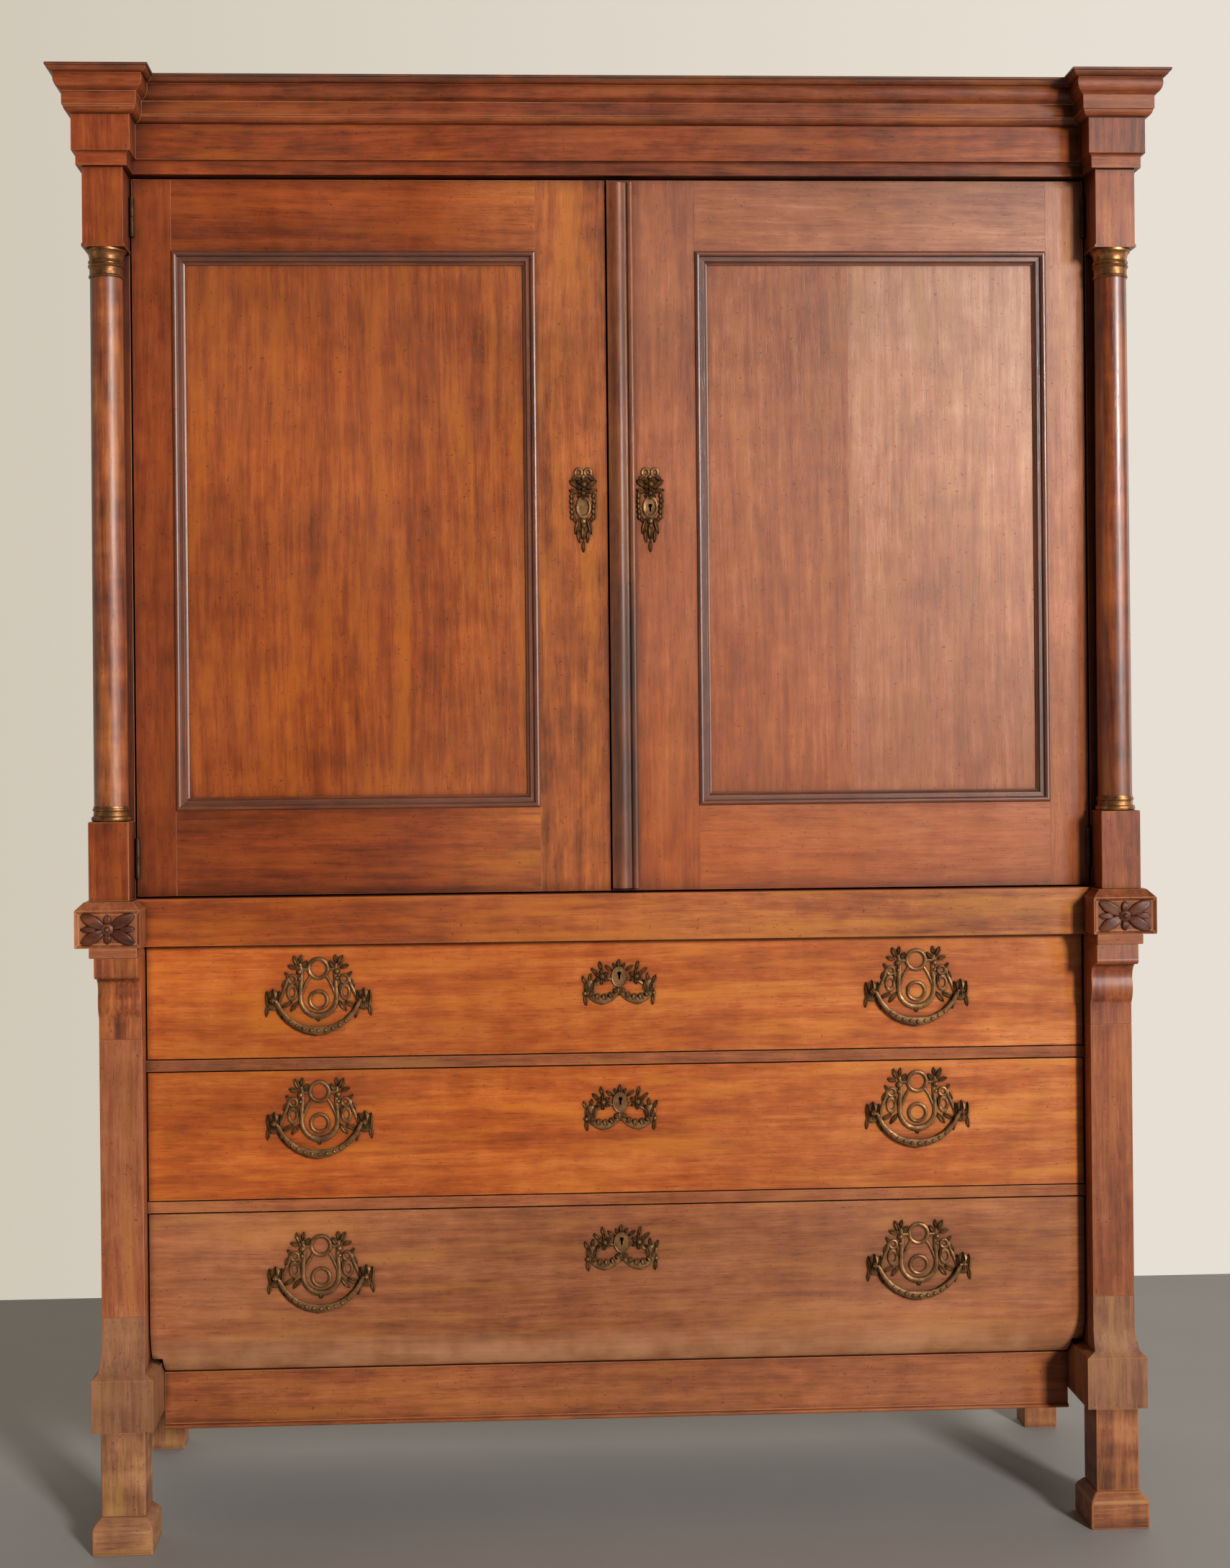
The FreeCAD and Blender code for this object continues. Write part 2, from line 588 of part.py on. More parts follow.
def lower_case():
    inner = LOWER_HALF - BOARD
    post = box(OPEN_HALF, LOWER_HALF, -POST_FRONT, POST_BACK, BLOCK_TOP, WAIST_Z)
    side = box(inner, LOWER_HALF, POST_BACK, CASE_D - BACK_POST, APRON_Z, WAIST_TOP - SHELF_T)
    back_post = box(LOWER_HALF - BACK_POST, LOWER_HALF, CASE_D - BACK_POST, CASE_D, 0,
                    WAIST_TOP - SHELF_T)
    tenon_l = 16.0
    dividers = []
    for z in DRAWER_BOTTOMS[:-1]:
        rail = box(-OPEN_HALF, OPEN_HALF, DRAWER_FACE, POST_BACK, z - DIVIDER_H, z)
        tenon = box(OPEN_HALF, OPEN_HALF + tenon_l, 20, 50, z - DIVIDER_H + 4, z - 4)
        post = post.cut(tenon)
        rail = joined([rail, tenon, other_side(tenon)])
        dividers.append(rail.cut(drawer_bolt_hole(z - DIVIDER_H)))
    save("drawer_dividers", dividers)
    save("lower_posts", both_sides([post]))
    save("lower_sides", both_sides([side]))
    save("back_posts", both_sides([back_post]))

    half = LOWER_HALF - BACK_POST
    pitch = 2 * half / BACK_BOARDS
    z1 = WAIST_TOP - SHELF_T
    boards = [box(-half + i * pitch, -half + (i + 1) * pitch, CASE_BACK, CASE_D, APRON_Z, z1)
              for i in range(BACK_BOARDS)]
    top = box(-LOWER_HALF, LOWER_HALF, POST_BACK - 20, CASE_D, z1, WAIST_TOP)
    save("lower_boards", lapped(boards, half, pitch, APRON_Z, z1) + [top])

    rail = box(-LOWER_HALF, LOWER_HALF, -WAIST_FRONT, POST_BACK - 20, WAIST_Z, WAIST_TOP)
    moulding_x = LOWER_HALF + 14
    side_mould = box(LOWER_HALF, moulding_x, ROSETTE_W - ROSETTE_FRONT, CASE_D, ROSETTE_Z, WAIST_TOP)
    save("waist_mouldings", [rail.cut(drawer_bolt_hole(WAIST_Z))] + both_sides([side_mould]))

    apron_half = OPEN_HALF - BLOCK_OUT
    y = APRON_FACE
    z = APRON_Z
    apron = [(y, z), (y - 4, z), ((y - 6, z + 3), (y - 4, z + 6)), (y, z + 7), (y, APRON_TOP),
             (y + APRON_T, APRON_TOP), (y + APRON_T, z)]
    save("apron_rail", [along_x(apron, -apron_half, apron_half)])

    runners = []
    for i, z in enumerate(DRAWER_BOTTOMS):
        guide_x = drawer_half(i) + 1.5
        steps = [(guide_x - 26, z), (guide_x - 26, z - RUNNER_H), (inner, z - RUNNER_H),
                 (inner, z + GUIDE_H), (guide_x, z + GUIDE_H), (guide_x, z)]
        front = APRON_FACE + APRON_T if z == APRON_TOP else POST_BACK
        runners += both_sides([along_y(steps, front, CASE_D - BACK_POST)])
    save("drawer_runners", runners)


def corner_dressing():
    """Rosette blocks, consoles, pilasters, foot blocks, legs and feet at the front corners."""
    rail = box(-LOWER_HALF, LOWER_HALF, -WAIST_FRONT, CASE_D, WAIST_Z, WAIST_TOP)
    post = box(0, LOWER_HALF, -POST_FRONT, CASE_D, 0, WAIST_Z)
    half = ROSETTE_W / 2
    y0 = -ROSETTE_FRONT
    y1 = y0 + ROSETTE_W
    block = bevelled(COLUMN_X - half, COLUMN_X + half, y0, y1, ROSETTE_Z, WAIST_TOP,
                     ROSETTE_BEVEL, ROSETTE_BEVEL)

    inner = OPEN_HALF
    outer = LOWER_HALF
    fillet = box(inner, outer + FILLET_OUT, -CONSOLE_FRONT - FILLET_OUT / 2, y1,
                 FILLET_Z, ROSETTE_Z)
    save("rosette_blocks", both_sides([block.cut(rail), fillet.cut(rail).cut(post)]))

    y = -PILASTER_FRONT
    front = -CONSOLE_FRONT
    z = CONSOLE_Z
    scroll = [(-POST_FRONT, z), (y, z), (y, z + 34), ((y - 9, z + 54), (y - 7, z + 74)),
              ((y - 10, z + 90), (front + 6, z + 101)), ((front, z + 105), (front, z + 110)),
              (front, FILLET_Z), (-POST_FRONT, FILLET_Z)]
    save("consoles", both_sides([along_x(scroll, inner, outer)]))
    pilaster = box(inner, outer, y, -POST_FRONT, PILASTER_Z, CONSOLE_Z)
    save("pilasters", both_sides([pilaster]))

    x0 = inner - BLOCK_OUT
    x1 = outer + BLOCK_OUT
    yb = -BLOCK_FRONT
    top = BLOCK_Z + BLOCK_H
    bevel = BLOCK_BEVEL
    front_view = [(x0, BLOCK_Z), (x1, BLOCK_Z), (x1, top), (x1 - bevel, BLOCK_TOP),
                  ((outer + 2.5, BLOCK_TOP + 18), (outer, NECK_Z)), (outer, PILASTER_Z),
                  (inner, PILASTER_Z), (inner, BLOCK_TOP), (x0, top)]
    side_view = [(POST_BACK, BLOCK_Z), (yb, BLOCK_Z), (yb, top), (yb + bevel, BLOCK_TOP),
                 ((y - 2.5, BLOCK_TOP + 18), (y, NECK_Z)), (y, PILASTER_Z), (POST_BACK, PILASTER_Z)]
    block = along_y(front_view, yb, POST_BACK).common(along_x(side_view, x0, x1))
    seat = box(inner, outer, -POST_FRONT, POST_BACK, BLOCK_TOP, PILASTER_Z)
    clear_back = box(outer, x1, POST_BACK - 1, POST_BACK, NECK_Z, PILASTER_Z)
    save("foot_blocks", both_sides([block.cut(seat).cut(clear_back)]))

    leg_y = -LEG_FRONT
    leg = box(PILASTER_X - LEG_W / 2, PILASTER_X + LEG_W / 2, leg_y, leg_y + LEG_W, LEG_Z, BLOCK_Z)
    save("front_legs", both_sides([leg]))
    spread = (FOOT_W - LEG_W) / 2
    foot = bevelled(PILASTER_X - FOOT_W / 2, PILASTER_X + FOOT_W / 2, leg_y - spread,
                    leg_y - spread + FOOT_W, 0, FOOT_H, spread - 1, FOOT_BEVEL)
    save("front_feet", both_sides([foot]))


def bevelled(x0, x1, y0, y1, z0, z1, inset, drop):
    """Block with its four top edges bevelled, inset across and drop down."""
    front_view = [(x0, z0), (x1, z0), (x1, z1 - drop), (x1 - inset, z1), (x0 + inset, z1),
                  (x0, z1 - drop)]
    side_view = [(y0, z0), (y1, z0), (y1, z1 - drop), (y1 - inset, z1), (y0 + inset, z1),
                 (y0, z1 - drop)]
    return along_y(front_view, y0, y1).common(along_x(side_view, x0, x1))


# ---------------------------------------------------------------- drawers
def drawer_half(index):
    """Half the width of a drawer's box; the lowest one clears the foot blocks."""
    flush = OPEN_HALF - DRAWER_GAP
    return flush - BLOCK_OUT - DRAWER_GAP if index == len(DRAWER_BOTTOMS) - 1 else flush


def front_section(index, z0, z1):
    """Section of a drawer front in (y, z), and the line of its back face from top to bottom."""
    face = DRAWER_FACE
    if index < len(DRAWER_BOTTOMS) - 1:
        return [(face, z0), (face, z1), (FRONT_BACK, z1), (FRONT_BACK, z0)], [(FRONT_BACK, z0)], z0
    deep = APRON_FACE - face
    spring = z0 + SWELL_H
    radius = (deep ** 2 + SWELL_H ** 2) / (2 * deep)
    turn = math.asin(SWELL_H / radius) / 2
    middle = (face + radius - radius * math.cos(turn), spring - radius * math.sin(turn))
    foot = APRON_FACE + FRONT_T + 8
    back = [((FRONT_BACK + 12, spring - 28), (foot, z0 + 40)), (foot, z0)]
    section = [(APRON_FACE, z0), (middle, (face, spring)), (face, z1), (FRONT_BACK, z1),
               (FRONT_BACK, spring)] + back
    return section, back, spring


def tails(half, y_root, y_tip, z0, z1, count):
    """Dovetails of a right-hand drawer side, wide at y_tip."""
    pitch = (z1 - z0) / count
    solids = []
    for i in range(count):
        z = z0 + (i + 0.5) * pitch
        root = pitch * 0.26
        tip = pitch * 0.36
        outline = [(y_root, z - root), (y_tip, z - tip), (y_tip, z + tip), (y_root, z + root)]
        solids.append(along_x(outline, half - DRAWER_SIDE_T, half))
    return solids


def drawer(index):
    name = "drawer_" + str(index + 1) + "_"
    low = DRAWER_BOTTOMS[index]
    high = DRAWER_TOPS[index]
    half = drawer_half(index)
    z0 = low + DRAWER_GAP
    z1 = high - DRAWER_GAP
    width = OPEN_HALF - DRAWER_GAP
    section, back_line, flat_z = front_section(index, z0, z1)
    front = along_x(section, -width, width)
    if index == len(DRAWER_BOTTOMS) - 1:
        ends = box(half + DRAWER_GAP / 2, width, DRAWER_FACE, POST_BACK + 60, z0, BLOCK_TOP + DRAWER_GAP)
        front = front.cut(ends).cut(other_side(ends))

    box_z = low + RUN
    side_top = high - DRAWER_HEADROOM
    y_back = CASE_BACK - DRAWER_REAR_GAP
    if len(back_line) == 1:
        behind = [(FRONT_BACK, box_z), (FRONT_BACK, side_top)]
    else:
        behind = [(back_line[-1][0], box_z), (back_line[0][1][0], back_line[0][1][1]),
                  (back_line[0][0], (FRONT_BACK, flat_z)), (FRONT_BACK, side_top)]
    side = along_x(behind + [(y_back, side_top), (y_back, box_z)], half - DRAWER_SIDE_T, half)
    front_tails = tails(half, FRONT_BACK, DRAWER_FACE + TAIL_LAP, max(flat_z, box_z + 24), side_top, 3)
    back_tails = tails(half, y_back - DRAWER_BACK_T, y_back, box_z + 22, side_top - 6, 3)
    corner = box(half - DRAWER_SIDE_T, half, y_back - DRAWER_BACK_T, y_back, box_z + 22, side_top)
    side = joined([side.cut(corner)] + front_tails + back_tails)

    floor_z = box_z + 12
    groove = half - DRAWER_SIDE_T + 7
    front_inner = back_line[-1][0]
    bottom = box(-groove, groove, front_inner - 8, y_back, floor_z, floor_z + DRAWER_BOTTOM_T)
    back = box(-half, half, y_back - DRAWER_BACK_T, y_back, box_z + 22, side_top - 6)
    for tail in back_tails:
        back = back.cut(tail).cut(other_side(tail))
    side = side.cut(bottom)
    for tail in front_tails:
        front = front.cut(tail).cut(other_side(tail))
    front = front.cut(bottom)

    bolt_y = DRAWER_FACE + 13.5
    lock_w = 35.0
    case = box(-lock_w, lock_w, bolt_y - 3, FRONT_BACK + 1.5, z1 - 78, z1)
    bolt = box(-10, 10, bolt_y, bolt_y + 6, z1 - 34, z1 - 1)
    channel = box(-10 - RUN, 10 + RUN, bolt_y - RUN, bolt_y + 6 + RUN, z1 - 35, z1)
    key_z = z1 - 56
    bore = upright(keyhole(FRONT_T + 4), FRONT_BACK + 4)
    bore.translate(V(0, 0, key_z))
    front = front.cut(case).cut(bore)
    save(name + "front", [front])
    save(name + "box", both_sides([side]) + [back, bottom])
    save(name + "lock", [case.cut(channel).cut(bore)])
    save(name + "lock_bolt", [bolt])

    handle_z = HANDLE_LEVELS[index]
    plates = both_sides([handle_plate(handle_z)])
    save(name + "brasses", plates + [drawer_escutcheon(key_z)])
    bail = handle_bail(handle_z)
    save(name + "right_bail", [bail])
    save(name + "left_bail", [other_side(bail)])


HANDLE_LEVELS = [DRAWER_BOTTOMS[0] + 95, DRAWER_BOTTOMS[1] + 124, DRAWER_BOTTOMS[2] + 167]


def handle_plate(z):
    """Pierced lyre-shaped plate with a boss at each end that carries the bail."""
    lyre = [(34, 58), ((LYRE_R - 2, 28), (LYRE_R, 4)), ((0, -LYRE_R), (-LYRE_R, 4)),
            ((2 - LYRE_R, 28), (-34, 58)), (-27, 58), ((8 - LYRE_R, 28), (6 - LYRE_R, 4)),
            ((0, 10 - LYRE_R), (LYRE_R - 6, 4)), ((LYRE_R - 8, 28), (27, 58))]
    ring = disc(0, RING_Z, RING_R)
    tie = box(6 - LYRE_R, LYRE_R - 6, RING_Z - RING_R - 4, RING_Z - RING_R + 3, 0, PLATE_T)
    x = BAIL_PIN_X
    arm = along_z([(LYRE_R - 4, -5), (x - 12, -14), (x, -18), (x + 13, -13), (x + 13, 8), (x + 4, 17),
                   (x - 8, 12), (LYRE_R - 4, 6)], 0, PLATE_T)
    post = box(x - BAIL_POST_W / 2, x + BAIL_POST_W / 2, -BAIL_POST_H / 2, BAIL_POST_H / 2,
               0, BAIL_OUT + 5)
    plate = joined([along_z(lyre, 0, PLATE_T), ring, tie] + both_sides([arm, post]))
    plate = plate.cut(disc(0, RING_Z, RING_HOLE))
    bore_r = BAIL_PIN_R + PIN_CLEARANCE
    plate = plate.cut(Part.makeCylinder(bore_r, 4 * x, V(-2 * x, 0, BAIL_OUT), V(1, 0, 0)))
    plate.translate(V(HANDLE_X, z, 0))
    return upright(plate, DRAWER_FACE)


def handle_bail(z):
    """Crescent bail that hangs between the ears on two short pins."""
    end = BAIL_PIN_X - BAIL_POST_W / 2 - BAIL_END_GAP
    step = BAIL_PIN_R + 1
    inner = end - 9
    outline = [(end, step), (end, -step), ((0, -BAIL_DROP - 6), (-end, -step)), (-end, step),
               (-inner, step), ((0, 7 - BAIL_DROP), (inner, step))]
    crescent = along_z(outline, BAIL_OUT - BAIL_T / 2, BAIL_OUT + BAIL_T / 2)
    reach = BAIL_POST_W + BAIL_END_GAP
    pins = [Part.makeCylinder(BAIL_PIN_R, reach, V(s * end, 0, BAIL_OUT), V(s, 0, 0)) for s in (-1, 1)]
    bail = joined([crescent] + pins)
    bail.translate(V(HANDLE_X, z, 0))
    return upright(bail, DRAWER_FACE)


def drawer_escutcheon(z):
    """Wide cast keyhole plate: crown, shield and two festoons."""
    half = [(0, 28), (8, 15), (24, 20), (38, 17), (44, 6), (60, 2), (60, -6), ((32, -31), (0, -15))]
    plate = along_z(mirrored_outline(half), 0, PLATE_T).cut(keyhole(PLATE_T))
    plate.translate(V(0, z, 0))
    return upright(plate, DRAWER_FACE)


# ---------------------------------------------------------------- the whole cupboard
os.makedirs("parts", exist_ok=True)
cornice()
upper_case()
columns()
doors()
lower_case()
corner_dressing()
for number in range(len(DRAWER_BOTTOMS)):
    drawer(number)
print("width", 2 * (UPPER_HALF + FRIEZE_OUT + CROWN_OUT), "depth", CROWN_FRONT + CASE_D, "height", TOP_Z)
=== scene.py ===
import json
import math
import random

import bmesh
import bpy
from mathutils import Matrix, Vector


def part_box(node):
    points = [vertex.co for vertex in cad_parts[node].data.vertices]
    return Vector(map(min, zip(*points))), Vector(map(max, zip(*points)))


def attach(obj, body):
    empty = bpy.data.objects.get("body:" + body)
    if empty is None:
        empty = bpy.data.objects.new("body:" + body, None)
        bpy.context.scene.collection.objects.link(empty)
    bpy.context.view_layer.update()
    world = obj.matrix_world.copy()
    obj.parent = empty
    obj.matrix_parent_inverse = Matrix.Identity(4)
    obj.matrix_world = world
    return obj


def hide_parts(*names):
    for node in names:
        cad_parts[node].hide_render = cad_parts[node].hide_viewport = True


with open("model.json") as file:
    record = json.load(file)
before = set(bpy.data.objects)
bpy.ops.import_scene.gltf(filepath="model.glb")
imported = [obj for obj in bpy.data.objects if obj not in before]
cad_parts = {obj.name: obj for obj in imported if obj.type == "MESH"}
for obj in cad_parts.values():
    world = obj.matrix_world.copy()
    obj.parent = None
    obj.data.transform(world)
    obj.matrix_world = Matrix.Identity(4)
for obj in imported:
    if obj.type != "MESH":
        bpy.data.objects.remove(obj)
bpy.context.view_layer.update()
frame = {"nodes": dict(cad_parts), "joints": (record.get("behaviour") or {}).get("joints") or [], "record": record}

# %% [markdown]
# # A kas cupboard
# The cupboard is a tall mahogany press of the Empire years: a broken-forward cornice, two
# panelled doors between slim columns, and a base of three long drawers on square feet. The solids
# of the frame are exact but sharp and grey. Here each wooden board gets soft arrises, grain that
# runs along it and a waxed, worn surface, and all the cast and turned brasswork is modelled anew.
# Lengths are metres, and the frame's own boxes say where each piece goes.

MM = 0.001
random.seed(1812)

# %% [markdown]
# Most operators act on whatever is selected, so a few small helpers keep that under control: one
# leaves just the named pieces selected, one opens a mesh with all of it selected, and one picks
# faces or points by a rule on their place. A rule such as "the face that looks forward" still
# works when a size changes, which a list of numbers would not.

# %% Selecting and opening a piece
def only(*pieces):
    """Leave just these objects selected, the first one active."""
    bpy.ops.object.select_all(action="DESELECT")
    for piece in pieces:
        piece.select_set(True)
    bpy.context.view_layer.objects.active = pieces[0]


def open_mesh(piece):
    """Open one piece in edit mode, with all of its mesh selected."""
    only(piece)
    bpy.ops.object.mode_set(mode="EDIT")
    bpy.ops.mesh.select_all(action="SELECT")


def close_mesh():
    bpy.ops.object.mode_set(mode="OBJECT")


def pick(piece, rule, kind="FACE"):
    """In edit mode, select the faces, or with VERT the points, for which the rule holds."""
    bpy.ops.mesh.select_mode(type=kind)
    bpy.ops.mesh.select_all(action="DESELECT")
    shape = bmesh.from_edit_mesh(piece.data)
    for part in shape.verts if kind == "VERT" else shape.faces:
        if rule(part):
            part.select_set(True)
    bmesh.update_edit_mesh(piece.data)


# %% [markdown]
# A new primitive keeps its place and turn in its object, and a modifier only waits in a list.
# Here both are applied at once, so that a mesh alone says where its piece is and how it looks. A
# copy gets a mesh of its own, so that moving its points leaves the first piece as it is.

# %% Settling, changing, copying and measuring a piece
def settle(piece):
    """Put a new primitive's place and turn into its mesh, with the object at the origin."""
    only(piece)
    bpy.ops.object.transform_apply(location=True, rotation=True, scale=True)
    return piece


def modified(piece, kind, **settings):
    """Add a modifier, set it and apply it."""
    only(piece)
    change = piece.modifiers.new(kind.title(), kind)
    for key, value in settings.items():
        setattr(change, key, value)
    bpy.ops.object.modifier_apply(modifier=change.name)
    return piece


def own_copy(piece, name):
    """A copy of a piece with a mesh of its own."""
    twin = bpy.data.objects.new(name, piece.data.copy())
    bpy.context.scene.collection.objects.link(twin)
    return twin


def span(piece):
    """Lowest and highest corner of a piece."""
    points = [v.co for v in piece.data.vertices]
    low = Vector([min(p[i] for p in points) for i in range(3)])
    return low, Vector([max(p[i] for p in points) for i in range(3)])


# %% [markdown]
# Finishes are built from shader nodes. A few short helpers keep the recipes readable: one adds a
# node and joins its inputs, and the rest are the nodes that come back all the time, such as
# noise, a mix of two colours or a change of range. Every recipe below is then a list of layers:
# figure, pores, wax, dirt and painted shade in the corners, painted sheen and painted side light,
# wear on the arrises.

# %% Small helpers for shader nodes
def new_finish(name):
    finish = bpy.data.materials.new(name)
    finish.use_nodes = True
    return finish, finish.node_tree, finish.node_tree.nodes["Principled BSDF"]


def fill(tree, made, inputs):
    """Set a node's inputs, or join them to the outputs of other nodes."""
    for name, value in inputs.items():
        socket = made.inputs[name]
        if isinstance(value, bpy.types.NodeSocket):
            tree.links.new(value, socket)
        else:
            socket.default_value = value


def step(tree, kind, inputs=None, **settings):
    """Add a shader node of this kind and return its first output."""
    made = tree.nodes.new("ShaderNode" + kind)
    for key, value in settings.items():
        setattr(made, key, value)
    fill(tree, made, inputs or {})
    return made.outputs[0]


def noise(tree, coords, stretch, detail=3.0, rough=0.55):
    """Noise in coords that are stretched by three numbers: small numbers give long streaks."""
    place = step(tree, "Mapping", {"Vector": coords, "Scale": stretch})
    return step(tree, "TexNoise", {"Vector": place, "Scale": 1.0, "Detail": detail, "Roughness": rough})


def mixed(tree, share, first, second, how="MIX"):
    """Two colours mixed: none of the second at a share of 0, all of it at 1."""
    made = tree.nodes.new("ShaderNodeMix")
    made.data_type = "RGBA"
    made.blend_type = how
    fill(tree, made, {0: share, 6: first, 7: second})
    return made.outputs[2]


def ranged(tree, value, low, high, to_low=0.0, to_high=1.0):
    """The value moved from one range to another, and kept within it."""
    return step(tree, "MapRange", {"Value": value, "From Min": low, "From Max": high,
                                   "To Min": to_low, "To Max": to_high})


def maths(tree, how, first, second):
    """Two values joined by this operation, such as ADD or MULTIPLY."""
    return step(tree, "Math", {0: first, 1: second}, operation=how)


def weighted(tree, first, *others):
    """The sum of some layers, each of them a value and its weight."""
    total = maths(tree, "MULTIPLY", *first)
    for value, weight in others:
        total = maths(tree, "ADD", total, maths(tree, "MULTIPLY", value, weight))
    return total


def rgb(red, green, blue):
    """A colour as it looks on a screen (0 to 255), turned into the linear values Blender mixes."""
    return tuple(((v / 255 + 0.055) / 1.055) ** 2.4 for v in (red, green, blue)) + (1,)


def darker(colour, share):
    """The colour with only this share of its light."""
    return tuple(c * share for c in colour[:3]) + (1,)


# %% [markdown]
# ## Wood
# Mahogany has a fine, fairly straight figure: broad soft bands, thin streaks, short dark pores
# and golden patches, with here and there a shimmer across the grain. Nearly all of it is long in
# one direction, so each board carries its own coordinates in an attribute called `figure`, whose
# first number runs along the board. A second attribute, `tone`, makes one board a little darker
# than the next.

# %% The figure of a board
GRAIN_WANDER = 0.045          # how far a line of the grain strays sideways, in metres


def figured(tree, dark, body, light, streaky, wavy, golden):
    """The colour of clean wood, and the three layers that its gloss and relief also need."""
    board = step(tree, "Attribute", attribute_name="figure").node.outputs["Vector"]
    tone = step(tree, "Attribute", attribute_name="tone").node.outputs["Fac"]
    sway = noise(tree, board, (0.8, 3.5, 3.5), 2).node.outputs["Color"]
    lines = step(tree, "VectorMath", {0: sway, 1: (0.0, GRAIN_WANDER, GRAIN_WANDER), 2: board},
                 operation="MULTIPLY_ADD")
    bands = noise(tree, lines, (2.1, 18, 18), 3)
    streaks = noise(tree, lines, (5.5, 110, 110), 5, 0.62)
    fine = noise(tree, lines, (16, 620, 620), 3, 0.7)
    pores = ranged(tree, noise(tree, lines, (34, 760, 760), 2), 0.60, 0.68)
    shimmer = noise(tree, lines, (26, 5, 5), 2)
    mottle = ranged(tree, noise(tree, lines, (24, 46, 46), 3, 0.6), 0.3, 0.7)
    value = weighted(tree, (bands, 0.34 / streaky), (streaks, 0.44 * streaky), (fine, 0.22),
                     (shimmer, wavy), (mottle, 0.12), (tone, 0.05))

    ramp = step(tree, "ValToRGB", {"Fac": ranged(tree, value, 0.41 + wavy / 2, 0.72 + wavy / 2)})
    stops = ramp.node.color_ramp.elements
    stops[0].color = dark
    stops[1].color = light
    stops.new(0.5).color = body
    colour = mixed(tree, maths(tree, "MULTIPLY", pores, 0.45), ramp, darker(dark, 0.32))
    gold = ranged(tree, noise(tree, lines, (4.5, 34, 34), 4, 0.6), 0.5, 0.66, 0.0, golden)
    colour = mixed(tree, gold, colour, (light[0], light[1] * 1.08, light[2] * 0.62, 1))
    return colour, fine, streaks, pores


# %% [markdown]
# Two centuries lie over that, and painted light with them. Many boards are painted paler towards
# one side of the cupboard than the other, a painted gradient of how the light falls across it,
# and the right-hand door is paler still round its upper outer corner, a painted sheen of the
# window in its wax. Old wax has gone hazy in large clouds. Dirt lies in fine specks, on top of
# the cornice and low on the middle strip, and pale dust at the foot of the lowest drawer. The
# corners, which the ambient occlusion node finds, are darkened with dirt and painted shade. All
# of this belongs to the cupboard and not to a single board, so it reads places in metres instead
# of the board's own coordinates.

# %% Painted light and grime
# Painted sheen, not bleaching: the corner below is where the right door is painted palest, as the window's shine
# would lie in its wax.
SHEEN_CORNER = (0.75, -0.2, 2.05)     # where the day has bleached the right door most, in metres


def faded(tree, colour, place, painted_light_tint, fade, bloomed):
    """The colour painted paler round the sheen corner, or from a shaded x to a sunny one, or both: painted sheen
    and painted side light.
    """
    # Painted sheen: paler round that corner, fading out about a metre away.
    if bloomed:
        away = step(tree, "VectorMath", {0: place, 1: SHEEN_CORNER}, operation="DISTANCE")
        share = ranged(tree, away.node.outputs["Value"], 0.1, 1.15, bloomed, 0.0)
        colour = mixed(tree, share, colour, painted_light_tint, "MULTIPLY")
    # Painted side light: paler from one x to another, as light seems to fall across the cupboard.
    if fade:
        shaded, sunny, share = fade
        side = step(tree, "SeparateXYZ", {"Vector": place})
        colour = mixed(tree, ranged(tree, side, shaded, sunny, 0.0, share), colour, painted_light_tint, "MULTIPLY")
    return colour


def soiled(tree, colour, place, soil, grime):
    """The colour under patchy grime, thick at the first level and gone at the second."""
    thick, gone = soil
    height = step(tree, "SeparateXYZ", {"Vector": place}).node.outputs["Z"]
    patches = ranged(tree, noise(tree, place, (14, 14, 5), 4), 0.36, 0.6, 0.35, 1.0)
    share = maths(tree, "MULTIPLY", ranged(tree, height, thick, gone, 0.85, 0.0), patches)
    return mixed(tree, share, colour, grime)


# %% [markdown]
# The whole recipe is these steps in order: what happened to the wood, with the painted light laid
# in among them. Nearly every wood comes as a pair: one for the faces, and one for the arrises,
# where hands and dusters have rubbed it lighter, duller and free of dirt, and where no painted
# corner shade is laid.

# %% The recipe for waxed wood
BARE_WOOD = rgb(190, 128, 84)
DARK_GRIME = rgb(72, 56, 48)


